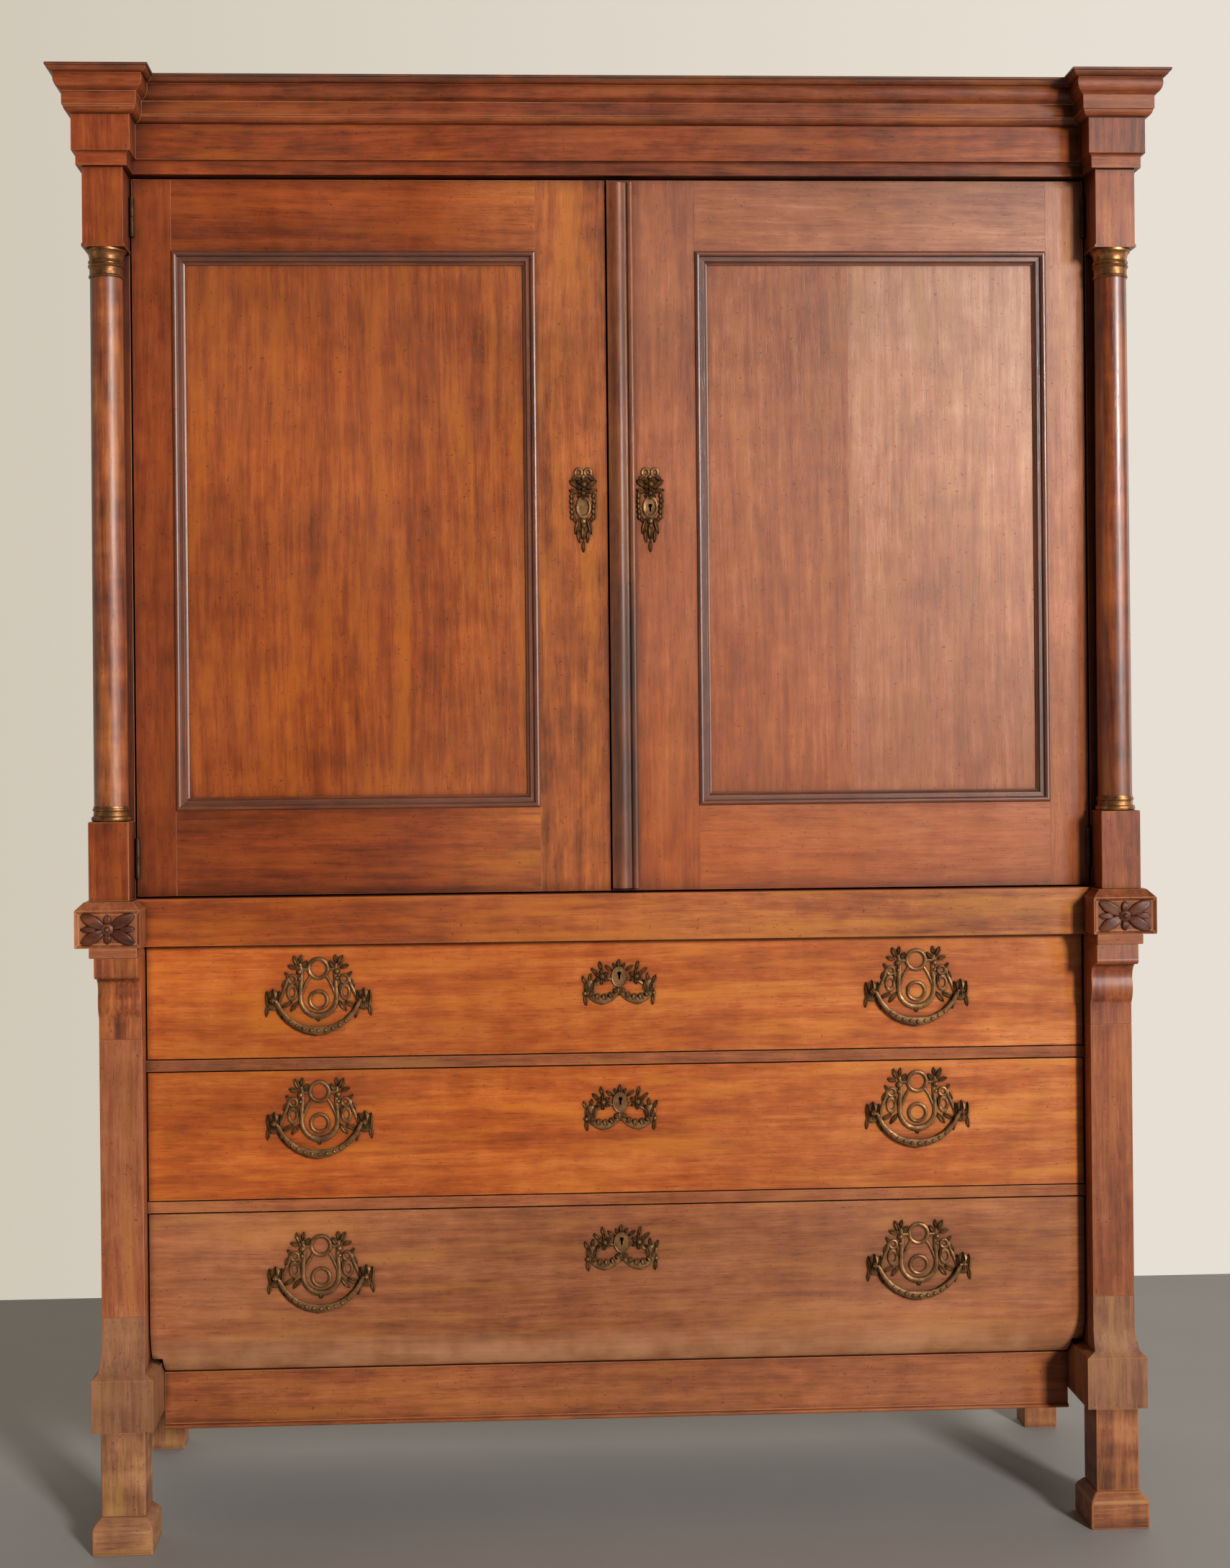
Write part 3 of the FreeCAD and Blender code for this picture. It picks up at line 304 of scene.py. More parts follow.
def wood(name, dark, body, light, haze_and_sheen, shine=0.33, hazy=0.35, streaky=1.0, worn=False, coat=0.0,
         golden=0.5, wavy=0.12, dirty=0.014, fade=None, bloomed=0.0, soil=None, grime=DARK_GRIME):
    """A waxed wood in four colours: dark grain, body, light grain and the haze in its wax, which also tints its
    painted sheen and painted side light.
    """
    finish, tree, shader = new_finish(name)
    place = step(tree, "TexCoord").node.outputs["Object"]
    colour, fine, streaks, pores = figured(tree, dark, body, light, streaky, wavy, golden)

    # Painted light: the tint by which the painted sheen and the painted side light lift the body towards its haze
    # colour.
    painted_light_tint = tuple(h / b for h, b in zip(haze_and_sheen[:3], body[:3])) + (1,)
    colour = faded(tree, colour, place, painted_light_tint, fade, bloomed)
    clouds = noise(tree, place, (2.3, 2.3, 1.7), 4, 0.6)
    colour = mixed(tree, ranged(tree, clouds, 0.42, 0.72, 0.04, hazy), colour, haze_and_sheen)
    warm = ranged(tree, noise(tree, place, (1.1, 1.1, 3.4), 2), 0.35, 0.65, 0.82, 1.12)
    warm = step(tree, "CombineColor", {"Red": warm, "Green": warm, "Blue": warm})
    colour = mixed(tree, 1.0, colour, warm, "MULTIPLY")

    specks = ranged(tree, noise(tree, place, (210, 210, 260), 2, 0.4), 0.69, 0.74, 0.0, 0.5)
    colour = mixed(tree, specks, colour, darker(dark, 0.25))
    if soil:
        colour = soiled(tree, colour, place, soil, grime)
    # Dirt and painted shade: the corners that ambient occlusion finds are darkened in the colour.
    if not worn:
        corners = step(tree, "AmbientOcclusion", {"Distance": dirty}, samples=6).node.outputs["AO"]
        colour = mixed(tree, ranged(tree, corners, 0.3, 0.96, 0.95, 0.0), colour, darker(dark, 0.22))

    dullest = shine + (0.24 if worn else 0.14)
    gloss = ranged(tree, clouds, 0.35, 0.7, shine - 0.06, dullest)
    gloss = maths(tree, "ADD", gloss, maths(tree, "MULTIPLY", fine, 0.10))
    height = weighted(tree, (fine, 0.5), (streaks, 0.5), (pores, -0.6))
    relief = step(tree, "Bump", {"Height": height, "Strength": 0.3, "Distance": 0.4 * MM})
    fill(tree, shader, {"Base Color": colour, "Roughness": gloss, "Normal": relief,
                        "Specular IOR Level": 0.34 + 0.2 * coat, "Coat Weight": coat,
                        "Coat Roughness": 0.48})
    return finish


def rubbed(colour, share):
    """The colour moved by this share towards bare, rubbed wood."""
    return tuple(c + (b - c) * share for c, b in zip(colour, BARE_WOOD))


def wood_pair(name, dark, body, light, haze_and_sheen, **settings):
    """A wood for the faces of a board, and the same wood rubbed for its arrises."""
    face = wood(name, dark, body, light, haze_and_sheen, **settings)
    edge = wood(name + " rubbed", rubbed(dark, 0.35), rubbed(body, 0.4), rubbed(light, 0.3), haze_and_sheen,
                worn=True, **settings)
    return face, edge


# %% [markdown]
# No two parts of the cupboard have had the same polish, and each takes its own painted light, so
# it takes many woods. The case and the left-hand door are dark, the right-hand door is the
# palest, with a painted sheen round its upper outer corner, the drawers are orange and the lowest
# one is brown. The columns are polished, the feet worn, and what nobody sees is plain oak.

# %% The woods of this cupboard
# Painted side light: many woods below are painted paler towards one side of the cupboard.
CASE = wood_pair("case mahogany", rgb(84, 34, 14), rgb(136, 58, 24), rgb(170, 84, 37), rgb(164, 92, 58),
                 hazy=0.15, dirty=0.06, fade=(-0.2, 0.9, 0.4))
CROWN = wood_pair("cornice mahogany", rgb(80, 33, 15), rgb(132, 59, 27), rgb(164, 84, 42), rgb(158, 90, 58),
                  hazy=0.15, dirty=0.06, fade=(-0.1, 0.9, 0.4), soil=(2.344, 2.334))
DOOR = wood_pair("door mahogany", rgb(104, 43, 14), rgb(146, 64, 22), rgb(180, 90, 32), rgb(184, 116, 72),
                 hazy=0.15, golden=0.65, fade=(-0.4, 0.8, 0.5))
FRAME = wood_pair("door frame mahogany", rgb(84, 34, 13), rgb(128, 54, 21), rgb(158, 74, 30),
                  rgb(184, 102, 54), hazy=0.06, streaky=0.8, dirty=0.03, fade=(-0.3, -0.13, 0.6))
RUN = wood_pair("moulding mahogany", rgb(58, 26, 13), rgb(98, 44, 21), rgb(134, 68, 35), rgb(130, 70, 42),
                shine=0.27, coat=1.0)
# Painted sheen: both woods of the right door are painted paler round its upper outer corner.
SHEEN_DOOR = wood_pair("faded door mahogany", rgb(136, 60, 18), rgb(166, 77, 23), rgb(192, 99, 36),
                  rgb(186, 134, 106), hazy=0.12, coat=0.14, bloomed=0.6, golden=0.3, dirty=0.045)
PALE = wood_pair("paler door mahogany", rgb(142, 66, 22), rgb(168, 80, 27), rgb(192, 101, 40),
                 rgb(194, 142, 114), hazy=0.12, coat=0.2, bloomed=0.85, golden=0.3)
DRAWER = wood_pair("drawer mahogany", rgb(138, 60, 17), rgb(178, 83, 28), rgb(208, 114, 46),
                   rgb(190, 118, 70), hazy=0.12, streaky=0.85, golden=0.6, fade=(-0.2, 0.8, 0.35))
BROWN = wood_pair("bottom drawer mahogany", rgb(116, 62, 34), rgb(158, 90, 53), rgb(186, 116, 73),
                  rgb(172, 120, 88), hazy=0.3, shine=0.4, soil=(0.25, 0.33), grime=rgb(240, 180, 132))
APRON = wood_pair("apron mahogany", rgb(108, 54, 28), rgb(152, 82, 45), rgb(182, 108, 64),
                  rgb(168, 110, 76), hazy=0.3, shine=0.42)
PILLAR = wood_pair("pilaster mahogany", rgb(98, 46, 23), rgb(138, 72, 41), rgb(170, 98, 59),
                   rgb(186, 118, 82), hazy=0.15, fade=(0.7, -0.7, 0.15))
COLUMN = wood_pair("polished column mahogany", rgb(68, 28, 12), rgb(122, 54, 24), rgb(166, 88, 42),
                   rgb(164, 86, 46), shine=0.28, hazy=0.15, coat=0.5, streaky=1.3,
                   wavy=0.3, fade=(0.75, -0.75, 0.5))
STRIP = wood_pair("handled strip mahogany", rgb(76, 34, 19), rgb(126, 64, 36), rgb(162, 94, 58),
                  rgb(152, 100, 72), soil=(1.35, 1.95))
CARVED = wood("carved mahogany", rgb(48, 22, 14), rgb(94, 46, 29), rgb(134, 76, 50), rgb(116, 72, 50),
              hazy=0.25)
BLOCK = wood_pair("foot block mahogany", rgb(104, 62, 40), rgb(146, 94, 64), rgb(172, 118, 82),
                  rgb(160, 116, 88), hazy=0.3, shine=0.5, wavy=0.2)
WORN = wood_pair("worn foot mahogany", rgb(88, 46, 26), rgb(136, 78, 47), rgb(172, 110, 68),
                 rgb(182, 124, 86), hazy=0.2, shine=0.5, streaky=1.1, wavy=0.5,
                 fade=(0.75, -0.75, 0.7))
OAK = wood_pair("plain oak", rgb(112, 76, 48), rgb(156, 114, 78), rgb(186, 146, 106), rgb(156, 128, 102),
                hazy=0.5, shine=0.6, streaky=1.2, golden=0.0)
print("woods", [m.name for m in bpy.data.materials if m.name.endswith(("mahogany", "oak"))])

# %% [markdown]
# ## Brass and iron
# The brass is cast, chased and long unpolished: a little brighter on the open faces, brown in
# spots and in the hollows, which ambient occlusion finds again, over a few millimetres. Tarnish
# isn't metal, so each finish is metallic only for the share that is still bare. The turned
# rings of the columns are the barest. The hinges are painted nearly black: painted shade, for
# the dark gaps beside the columns where they hang. The iron of bolts and locks is dark and pitted.

# %% Old metals
HOLLOW_REACH = 5 * MM


def metal(name, bright, dull, hollow, shine, spots=0.5, deep=0.9, bare=0.7):
    """A metal in three colours: its bright clouds, its dull ones, and its spots and hollows."""
    finish, tree, shader = new_finish(name)
    place = step(tree, "TexCoord").node.outputs["Object"]
    clouds = noise(tree, place, (60, 60, 60), 4, 0.6)
    pits = noise(tree, place, (900, 900, 900), 3)
    colour = mixed(tree, ranged(tree, clouds, 0.38, 0.62), bright, dull)
    spot = ranged(tree, noise(tree, place, (240, 240, 240), 3), 0.56, 0.68, 0.0, spots)
    colour = mixed(tree, spot, colour, hollow)
    open_air = step(tree, "AmbientOcclusion", {"Distance": HOLLOW_REACH}, samples=8).node.outputs["AO"]
    colour = mixed(tree, ranged(tree, open_air, 0.35, 0.9, deep, 0.0), colour, hollow)
    gloss = ranged(tree, clouds, 0.3, 0.7, shine - 0.08, shine + 0.14)
    relief = step(tree, "Bump", {"Height": maths(tree, "ADD", pits, clouds), "Strength": 0.25,
                                 "Distance": 0.5 * MM})
    fill(tree, shader, {"Base Color": colour, "Roughness": gloss, "Normal": relief, "Metallic": bare})
    return finish


CAST = metal("old cast brass", rgb(150, 108, 64), rgb(108, 74, 42), rgb(52, 33, 19), 0.46, bare=0.55)
TURNED = metal("turned column brass", rgb(160, 108, 64), rgb(106, 70, 42), rgb(60, 38, 23), 0.4,
               spots=0.35, deep=0.7, bare=0.8)
# Painted shade: the hinges sit in dark gaps by the columns, so their brass is painted nearly black.
SHADE_DARK_HINGE = metal("hinge brass painted dark for shade", rgb(78, 54, 32), rgb(52, 36, 22), rgb(26, 17, 11), 0.55)
IRON = metal("black iron", rgb(86, 80, 74), rgb(58, 52, 48), rgb(28, 22, 18), 0.5)
print("metals", CAST.name, TURNED.name, SHADE_DARK_HINGE.name, IRON.name)

# %% [markdown]
# ## Boards
# The frame's solids have perfectly sharp edges, which no hand-planed cupboard has. Each node may
# hold several boards that touch, so merging all of its points would weld neighbours together.
# The triangles of one solid follow each other, and a solid is complete when every edge has been
# met from both sides, so counting open edges finds where one board ends and the next begins.
# Each board is then copied out, merged and freed of needless triangles.

# %% Finding and copying the boards of a node
WELD = 0.02 * MM
FLAT_ANGLE = 1          # degrees: an edge flatter than this only divides a face


def boards_of(node):
    """Sets of face numbers, one set for each closed solid in a frame node's mesh."""
    mesh = frame["nodes"][node].data
    corners = [tuple(round(c * 1e6) for c in v.co) for v in mesh.vertices]
    boards, board, open_edges = [], set(), {}
    for face in mesh.polygons:
        board.add(face.index)
        ring = [corners[i] for i in face.vertices]
        for edge in zip(ring, ring[1:] + ring[:1]):
            back = edge[::-1]
            if open_edges.get(back):
                open_edges[back] -= 1
                if not open_edges[back]:
                    del open_edges[back]
            else:
                open_edges[edge] = open_edges.get(edge, 0) + 1
        if not open_edges:
            boards.append(board)
            board = set()
    return boards


def board_copy(node, faces, name):
    """A merged, tidy copy of one solid of a frame node."""
    piece = own_copy(frame["nodes"][node], name)
    piece.data.materials.clear()
    open_mesh(piece)
    pick(piece, lambda face: face.index not in faces)
    bpy.ops.mesh.delete(type="FACE")
    bpy.ops.mesh.select_mode(type="VERT")
    bpy.ops.mesh.select_all(action="SELECT")
    bpy.ops.mesh.remove_doubles(threshold=WELD)
    bpy.ops.mesh.dissolve_limited(angle_limit=math.radians(FLAT_ANGLE))
    bpy.ops.mesh.normals_make_consistent(inside=False)
    close_mesh()
    return piece


# %% [markdown]
# Grain runs along a board's longest side, unless its maker turned it. Each board also gets a
# random shift and tone, so that no two show the same figure, even where their shapes are alike.

# %% Grain coordinates for a board
FARTHEST_SHIFT = 9.0          # metres of figure, either way


def lay_figure(piece, along=None):
    """Give a board its own grain coordinates: along its longest side unless an axis is named."""
    low, high = span(piece)
    size = high - low
    first = max(range(3), key=lambda i: size[i]) if along is None else "XYZ".index(along)
    order = [first] + [i for i in range(3) if i != first]
    shift = [random.uniform(-FARTHEST_SHIFT, FARTHEST_SHIFT) for _ in range(3)]
    tone = random.uniform(-1, 1)
    piece.data.attributes.new("figure", "FLOAT_VECTOR", "POINT")
    piece.data.attributes.new("tone", "FLOAT", "POINT")
    # Making an attribute can move the others in memory, so both are looked up afterwards.
    figure = piece.data.attributes["figure"].data
    shade = piece.data.attributes["tone"].data
    for number, point in enumerate(piece.data.vertices):
        figure[number].vector = [point.co[i] + s for i, s in zip(order, shift)]
        shade[number].value = tone


# %% [markdown]
# Every arris gets a narrow rounded bevel, and the bevel's faces take the second material, the
# rubbed one. The boards of a node are then joined, and their shading is weighted by the size of
# each face, so that broad flat faces stay flat beside their bevels. The finished piece stands
# for its node and rides on the body that the node moves with.

# %% Soft arrises, and a piece in its node's place
ARRIS_ANGLE = 40            # degrees: an edge sharper than this is rounded
SHADING_ANGLE = 32          # degrees: an edge sharper than this stays crisp in the shading
body_of_node = {n: body for body, names in frame["record"]["behaviour"]["bodies"].items() for n in names}


def finished(piece, finishes):
    """Give a piece its materials: one for its faces and one for its arrises."""
    for finish in finishes:
        piece.data.materials.append(finish)


def eased(piece, width, angle=ARRIS_ANGLE, material=1):
    """Round a piece's arrises with a bevel this wide, in the material of this number."""
    return modified(piece, "BEVEL", width=width, segments=2, limit_method="ANGLE",
                    angle_limit=math.radians(angle), material=material)


def flat_lit(piece):
    """Weight the shading by face size, so that broad flat faces stay flat beside their bevels."""
    return modified(piece, "WEIGHTED_NORMAL", keep_sharp=True)


def joined(pieces, name):
    """Join pieces into one of this name, smooth but for its sharper edges."""
    only(*pieces)
    if len(pieces) > 1:
        bpy.ops.object.join()
    whole = bpy.context.view_layer.objects.active
    whole.name = name
    whole.data.name = name
    bpy.ops.object.shade_smooth_by_angle(angle=math.radians(SHADING_ANGLE))
    return whole


def softened(node, finishes, width, keep=None, name=None):
    """The boards of a node, or those that a rule keeps, with rounded, rubbed arrises, as one."""
    made = []
    for faces in boards_of(node):
        piece = board_copy(node, faces, node + "_board")
        if keep and not keep(*span(piece)):
            bpy.data.objects.remove(piece)
            continue
        finished(piece, finishes)
        eased(piece, width)
        lay_figure(piece)
        made.append(piece)
    return flat_lit(joined(made, name or node + "_finished"))


def stands_for(piece, node):
    """Let a finished piece take a node's place on the body that node moves with."""
    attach(piece, body_of_node[node])
    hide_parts(node)


# %% [markdown]
# Now the boards themselves. One table says which wood each node is of and how soft its arrises
# are: joinery that meets flush gets about half a millimetre, so that its joints read as
# hairlines, and the feet, kicked and mopped for two centuries, get far more. Parts nobody sees
# were made of plain oak, and locks and bolts of iron. The slot names are those of the frame's
# own record.

# %% All the boards, locks and bolts
IRONWORK = ["left_door_top_bolt", "left_door_bottom_bolt", "right_door_lock", "right_door_lock_bolt"]
IRONWORK += [f"drawer_{n}_{part}" for part in ("lock", "lock_bolt") for n in (1, 2, 3)]
EASED_BY = [          # slot, finishes, and by how many millimetres each node is eased
    ("mahogany_case", CROWN, {"cornice_crown": 1.2}),
    ("mahogany_case", CASE, {"cornice_frieze": 0.8, "upper_posts": 0.8,
                             "upper_sides": 1.0, "column_dies": 1.4, "column_pedestals": 1.8,
                             "lower_posts": 0.8, "lower_sides": 1.0}),
    ("mahogany_case", PILLAR, {"pilasters": 1.2}),
    ("mahogany_case", COLUMN, {"consoles": 1.5}),
    ("mahogany_case", DOOR, {"waist_mouldings": 1.4}),
    ("mahogany_case", APRON, {"apron_rail": 1.2, "drawer_dividers": 0.8}),
    ("mahogany_door", FRAME, {"left_door_frame": 0.6}),
    ("mahogany_door", DOOR, {"left_door_panel": 0.6}),
    ("mahogany_door", RUN, {"left_door_mouldings": 0.5, "right_door_mouldings": 0.5}),
    ("mahogany_door", SHEEN_DOOR, {"right_door_frame": 0.6}),
    ("mahogany_door", STRIP, {"right_door_strip": 0.7}),
    ("mahogany_drawer", DRAWER, {"drawer_1_front": 1.3, "drawer_2_front": 1.3}),
    ("mahogany_drawer", BROWN, {"drawer_3_front": 1.8}),
    ("worn_oak", BLOCK, {"foot_blocks": 2.6}),
    ("worn_oak", WORN, {"front_legs": 2.4, "front_feet": 3.4, "back_posts": 2.0}),
    ("secondary_oak", OAK, {"cornice_boards": 1.0, "upper_boards": 0.8, "shelves": 1.0,
                            "lower_boards": 0.8, "drawer_runners": 0.8, "drawer_1_box": 0.8,
                            "drawer_2_box": 0.8, "drawer_3_box": 0.8}),
    ("iron", (IRON, IRON), dict.fromkeys(IRONWORK, 0.5)),
]
for slot, finishes, widths in EASED_BY:
    for node, width in widths.items():
        stands_for(softened(node, finishes, width * MM), node)

# %% [markdown]
# The right-hand panel was glued up from two boards, and the joint shows as a fine line where one
# figure stops and another begins. Cutting the board's mesh along the joint with bisect gives each
# half its own coordinates, and so its own figure, without moving a face.

# %% The two-board panel of the right door
PANEL_JOINT_X = 385 * MM
PANEL_EASED = 0.35 * MM


def panel_half(keep_left, finishes):
    """The panel on one side of the joint, its cut end closed and its arrises softened."""
    half = board_copy("right_door_panel", boards_of("right_door_panel")[0], "right_door_panel_half")
    open_mesh(half)
    bpy.ops.mesh.bisect(plane_co=(PANEL_JOINT_X, 0, 0), plane_no=(1, 0, 0), use_fill=True,
                        clear_outer=keep_left, clear_inner=not keep_left)
    close_mesh()
    finished(half, finishes)
    eased(half, PANEL_EASED)
    lay_figure(half, "Z")
    return half


panel = joined([panel_half(True, SHEEN_DOOR), panel_half(False, PALE)], "right_door_panel_finished")
stands_for(flat_lit(panel), "right_door_panel")
print("panel joint at", PANEL_JOINT_X)

# %% [markdown]
# ## Columns
# Each column is a slim turned shaft of mahogany, a little thinner at its head, held between a
# brass base and a brass capital. Turned work is modelled as it is made, ring by ring: a circle is
# drawn at the foot, then extruded and resized again and again until it has followed the whole
# profile. The second column is a copy moved across.

# %% Turning a piece on the column's axis
COLUMN_LOW, COLUMN_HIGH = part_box("column_shafts")
FRAME_SHAFT_R = 26.4 * MM          # radius of the plain shaft in the frame
COLUMN_AXIS = Vector((COLUMN_HIGH.x - FRAME_SHAFT_R, (COLUMN_LOW.y + COLUMN_HIGH.y) / 2, 0))
TO_LEFT_COLUMN = (-2 * COLUMN_AXIS.x, 0, 0)
TURNED_SIDES = 56


def turned(name, profile, finish):
    """A closed shape turned about the right-hand column's axis; profile is (radius, level)."""
    radius, level = profile[0]
    bpy.ops.object.select_all(action="DESELECT")
    bpy.ops.mesh.primitive_circle_add(vertices=TURNED_SIDES, radius=radius, fill_type="NGON",
                                      location=COLUMN_AXIS + Vector((0, 0, level)))
    piece = settle(bpy.context.object)
    piece.name = name
    open_mesh(piece)
    for next_radius, next_level in profile[1:]:
        bpy.ops.mesh.extrude_region_move(TRANSFORM_OT_translate={"value": (0, 0, next_level - level)})
        share = next_radius / radius
        bpy.ops.transform.resize(value=(share, share, 1),
                                 center_override=COLUMN_AXIS + Vector((0, 0, next_level)))
        radius, level = next_radius, next_level
    bpy.ops.mesh.select_all(action="SELECT")
    bpy.ops.mesh.normals_make_consistent(inside=False)
    close_mesh()
    piece.data.materials.append(finish)
    return piece


def across(piece, move):
    """A copy with its own mesh, moved by this much."""
    twin = own_copy(piece, piece.name + "_twin")
    open_mesh(twin)
    bpy.ops.transform.translate(value=move)
    close_mesh()
    return twin


# %% [markdown]
# The shaft's radius shrinks by less than two millimetres, most of it in the upper half, as
# turners liked it. The brasses follow profiles of beads and hollows, given in millimetres.

# %% Shafts, bases and capitals
SHAFT_R_LOW = 27.2 * MM
SHAFT_R_HIGH = 25.4 * MM
SWELL_STEPS = 12
SWELL_POWER = 1.6          # above 1, the shaft keeps its width longer near the foot
length = COLUMN_HIGH.z - COLUMN_LOW.z
swell = [(SHAFT_R_LOW + (SHAFT_R_HIGH - SHAFT_R_LOW) * (t / SWELL_STEPS) ** SWELL_POWER,
          COLUMN_LOW.z + length * t / SWELL_STEPS) for t in range(SWELL_STEPS + 1)]
right_shaft = turned("column_shafts_turned", swell, COLUMN[0])
shafts = [right_shaft, across(right_shaft, TO_LEFT_COLUMN)]
for shaft in shafts:
    lay_figure(shaft, "Z")
stands_for(joined(shafts, "column_shafts_finished"), "column_shafts")

BASE_PROFILE = [(29, 0), (31.2, 1.2), (31.8, 4), (31.2, 6.8), (29.6, 8), (28.6, 8.6), (28.2, 11), (28.0, 14),
                (28.2, 16), (29.3, 17), (29.7, 18.6), (29.2, 20.2), (28.2, 21), (27.9, 24)]
CAPITAL_PROFILE = [(26.4, 0), (27.6, 1), (28.0, 2.5), (27.4, 4), (26.4, 4.8), (26.3, 11), (26.5, 16),
                   (27.9, 17), (28.8, 19), (28.2, 21), (26.9, 22), (26.9, 23), (28.0, 24), (28.6, 25.6),
                   (28.0, 27.2), (26.8, 28), (26.6, 31), (27.2, 35), (28.6, 39), (30.4, 41.6), (31.4, 42.4),
                   (31.6, 44.4), (31.6, 46)]
base_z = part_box("column_brasses")[0].z
base = turned("column_base", [(r * MM, base_z + z * MM) for r, z in BASE_PROFILE], TURNED)
capital = turned("column_capital", [(r * MM, COLUMN_HIGH.z + z * MM) for r, z in CAPITAL_PROFILE], TURNED)
rings = [base, capital, across(base, TO_LEFT_COLUMN), across(capital, TO_LEFT_COLUMN)]
stands_for(joined(rings, "column_brasses_finished"), "column_brasses")
print("columns from", round(base_z, 3), "to", round(COLUMN_HIGH.z + CAPITAL_PROFILE[-1][1] * MM, 3))

# %% [markdown]
# ## Cast ornament
# The handles and key plates are thin castings in relief: scrolls, leaves, beads and festoons.
# They could be sculpted, but a few strokes repeated build them more cleanly. Places are in
# millimetres from the plate's own centre: right and up. A scroll is drawn like a pen stroke: a
# small disc is spun along arcs, one after another, swelling and thinning on its way.

# %% Scrolls
SPIN_STEP = 15          # degrees of arc in each step of a scroll


def at(centre, x, z, out=0.0):
    """The point x to the right of the centre and z above it, and this much in front."""
    return centre + Vector((x, -out, z)) * MM


def scroll(centre, start, heading, strokes, thick, proud=0.7, sides=8):
    """A cast scroll: each stroke is (radius, turn in degrees, growth), a turn of 0 is straight."""
    x, z = start
    course = math.radians(heading)
    bpy.ops.object.select_all(action="DESELECT")
    bpy.ops.mesh.primitive_circle_add(vertices=sides, radius=thick / 2 * MM, fill_type="NGON",
                                      location=at(centre, x, z), rotation=(0, math.pi / 2 - course, 0))
    rod = settle(bpy.context.object)
    open_mesh(rod)
    for radius, turn, growth in strokes:
        count = max(2, math.ceil(abs(turn) / SPIN_STEP)) if turn else 1
        side = 1 if turn > 0 else -1
        for _ in range(count):
            if turn:
                x, z = x - side * radius * math.sin(course), z + side * radius * math.cos(course)
                bpy.ops.mesh.spin(steps=1, angle=math.radians(abs(turn) / count),
                                  center=at(centre, x, z), axis=(0, side, 0))
                course += math.radians(turn / count)
                x, z = x + side * radius * math.sin(course), z - side * radius * math.cos(course)
            else:
                move = Vector((math.cos(course), 0, math.sin(course))) * radius
                bpy.ops.mesh.extrude_region_move(TRANSFORM_OT_translate={"value": move * MM})
                x, z = x + move.x, z + move.z
            share = growth ** (1 / count)
            bpy.ops.transform.resize(value=(share,) * 3, center_override=at(centre, x, z))
    bpy.ops.mesh.select_all(action="SELECT")
    bpy.ops.transform.resize(value=(1, proud, 1), center_override=centre)
    bpy.ops.mesh.normals_make_consistent(inside=False)
    close_mesh()
    return rod


# %% [markdown]
# A bead or boss is half a ball, cut off at the plate. A leaf starts as the same half ball, long
# and flat. Its midrib is pressed in and its upper end is drawn together into a point.

# %% Domes and leaves
MIDRIB_WIDE = 0.06          # on each side of the middle, as a share of the leaf's width
MIDRIB_DEEP = 0.45          # as a share of its proudness
TIP_PINCH = 0.72


def dome(centre, x, z, wide, high, proud, turn=0):
    """A half ball of this width, height and proudness, flat on the plate."""
    bpy.ops.object.select_all(action="DESELECT")
    bpy.ops.mesh.primitive_uv_sphere_add(segments=12, ring_count=8, radius=MM, location=at(centre, x, z),
                                         rotation=(0, math.radians(turn), 0),
                                         scale=(wide / 2, proud, high / 2))
    ball = settle(bpy.context.object)
    open_mesh(ball)
    bpy.ops.mesh.bisect(plane_co=centre, plane_no=(0, 1, 0), use_fill=True, clear_outer=True)
    close_mesh()
    return ball


def leaf(centre, x, z, wide, high, proud, turn=0):
    """A dome drawn out to a point, its midrib pressed in."""
    blade = dome(centre, x, z, wide, high, proud, turn)
    middle = at(centre, x, z)
    tilt = math.radians(turn)
    along = Vector((math.sin(tilt), 0, math.cos(tilt)))
    over = Vector((math.cos(tilt), 0, -math.sin(tilt)))
    open_mesh(blade)
    pick(blade, lambda p: abs((p.co - middle).dot(over)) < wide * MIDRIB_WIDE * MM
         and p.co.y < middle.y - 0.2 * proud * MM, "VERT")
    bpy.ops.transform.translate(value=(0, MIDRIB_DEEP * proud * MM, 0))
    pick(blade, lambda p: (p.co - middle).dot(along) > 0.25 * high * MM, "VERT")
    bpy.ops.transform.resize(value=(TIP_PINCH, 1, TIP_PINCH),
                             center_override=middle + along * high * 0.45 * MM)
    close_mesh()
    return blade


def leaves(centre, rows):
    """A leaf for each row of right, up, width, height, proudness and turn in degrees."""
    return [leaf(centre, *row) for row in rows]


# %% [markdown]
# Rings, little flowers and mirrored copies complete the set. A mirrored mesh is inside out, so its
# normals are worked out again.

# %% Rings, flowers and mirrored copies
def ring(centre, x, z, radius, thick, tall=1.0):
    """A cast ring, stretched upwards if tall is above 1."""
    bpy.ops.object.select_all(action="DESELECT")
    bpy.ops.mesh.primitive_torus_add(major_segments=24, minor_segments=8, major_radius=radius * MM,
                                     minor_radius=thick / 2 * MM, location=at(centre, x, z),
                                     rotation=(math.pi / 2, 0, 0))
    loop = settle(bpy.context.object)
    open_mesh(loop)
    bpy.ops.transform.resize(value=(1, 0.8, tall), center_override=at(centre, x, z))
    close_mesh()
    return loop


def flower(centre, x, z, radius, petals=6):
    """A small open flower: a boss with petals round it."""
    parts = [dome(centre, x, z, radius * 0.8, radius * 0.8, radius * 0.75)]
    for k in range(petals):
        way = 2 * math.pi * k / petals
        parts.append(leaf(centre, x + 0.6 * radius * math.sin(way), z + 0.6 * radius * math.cos(way),
                          radius * 0.62, radius * 0.95, radius * 0.5, math.degrees(way)))
    return parts


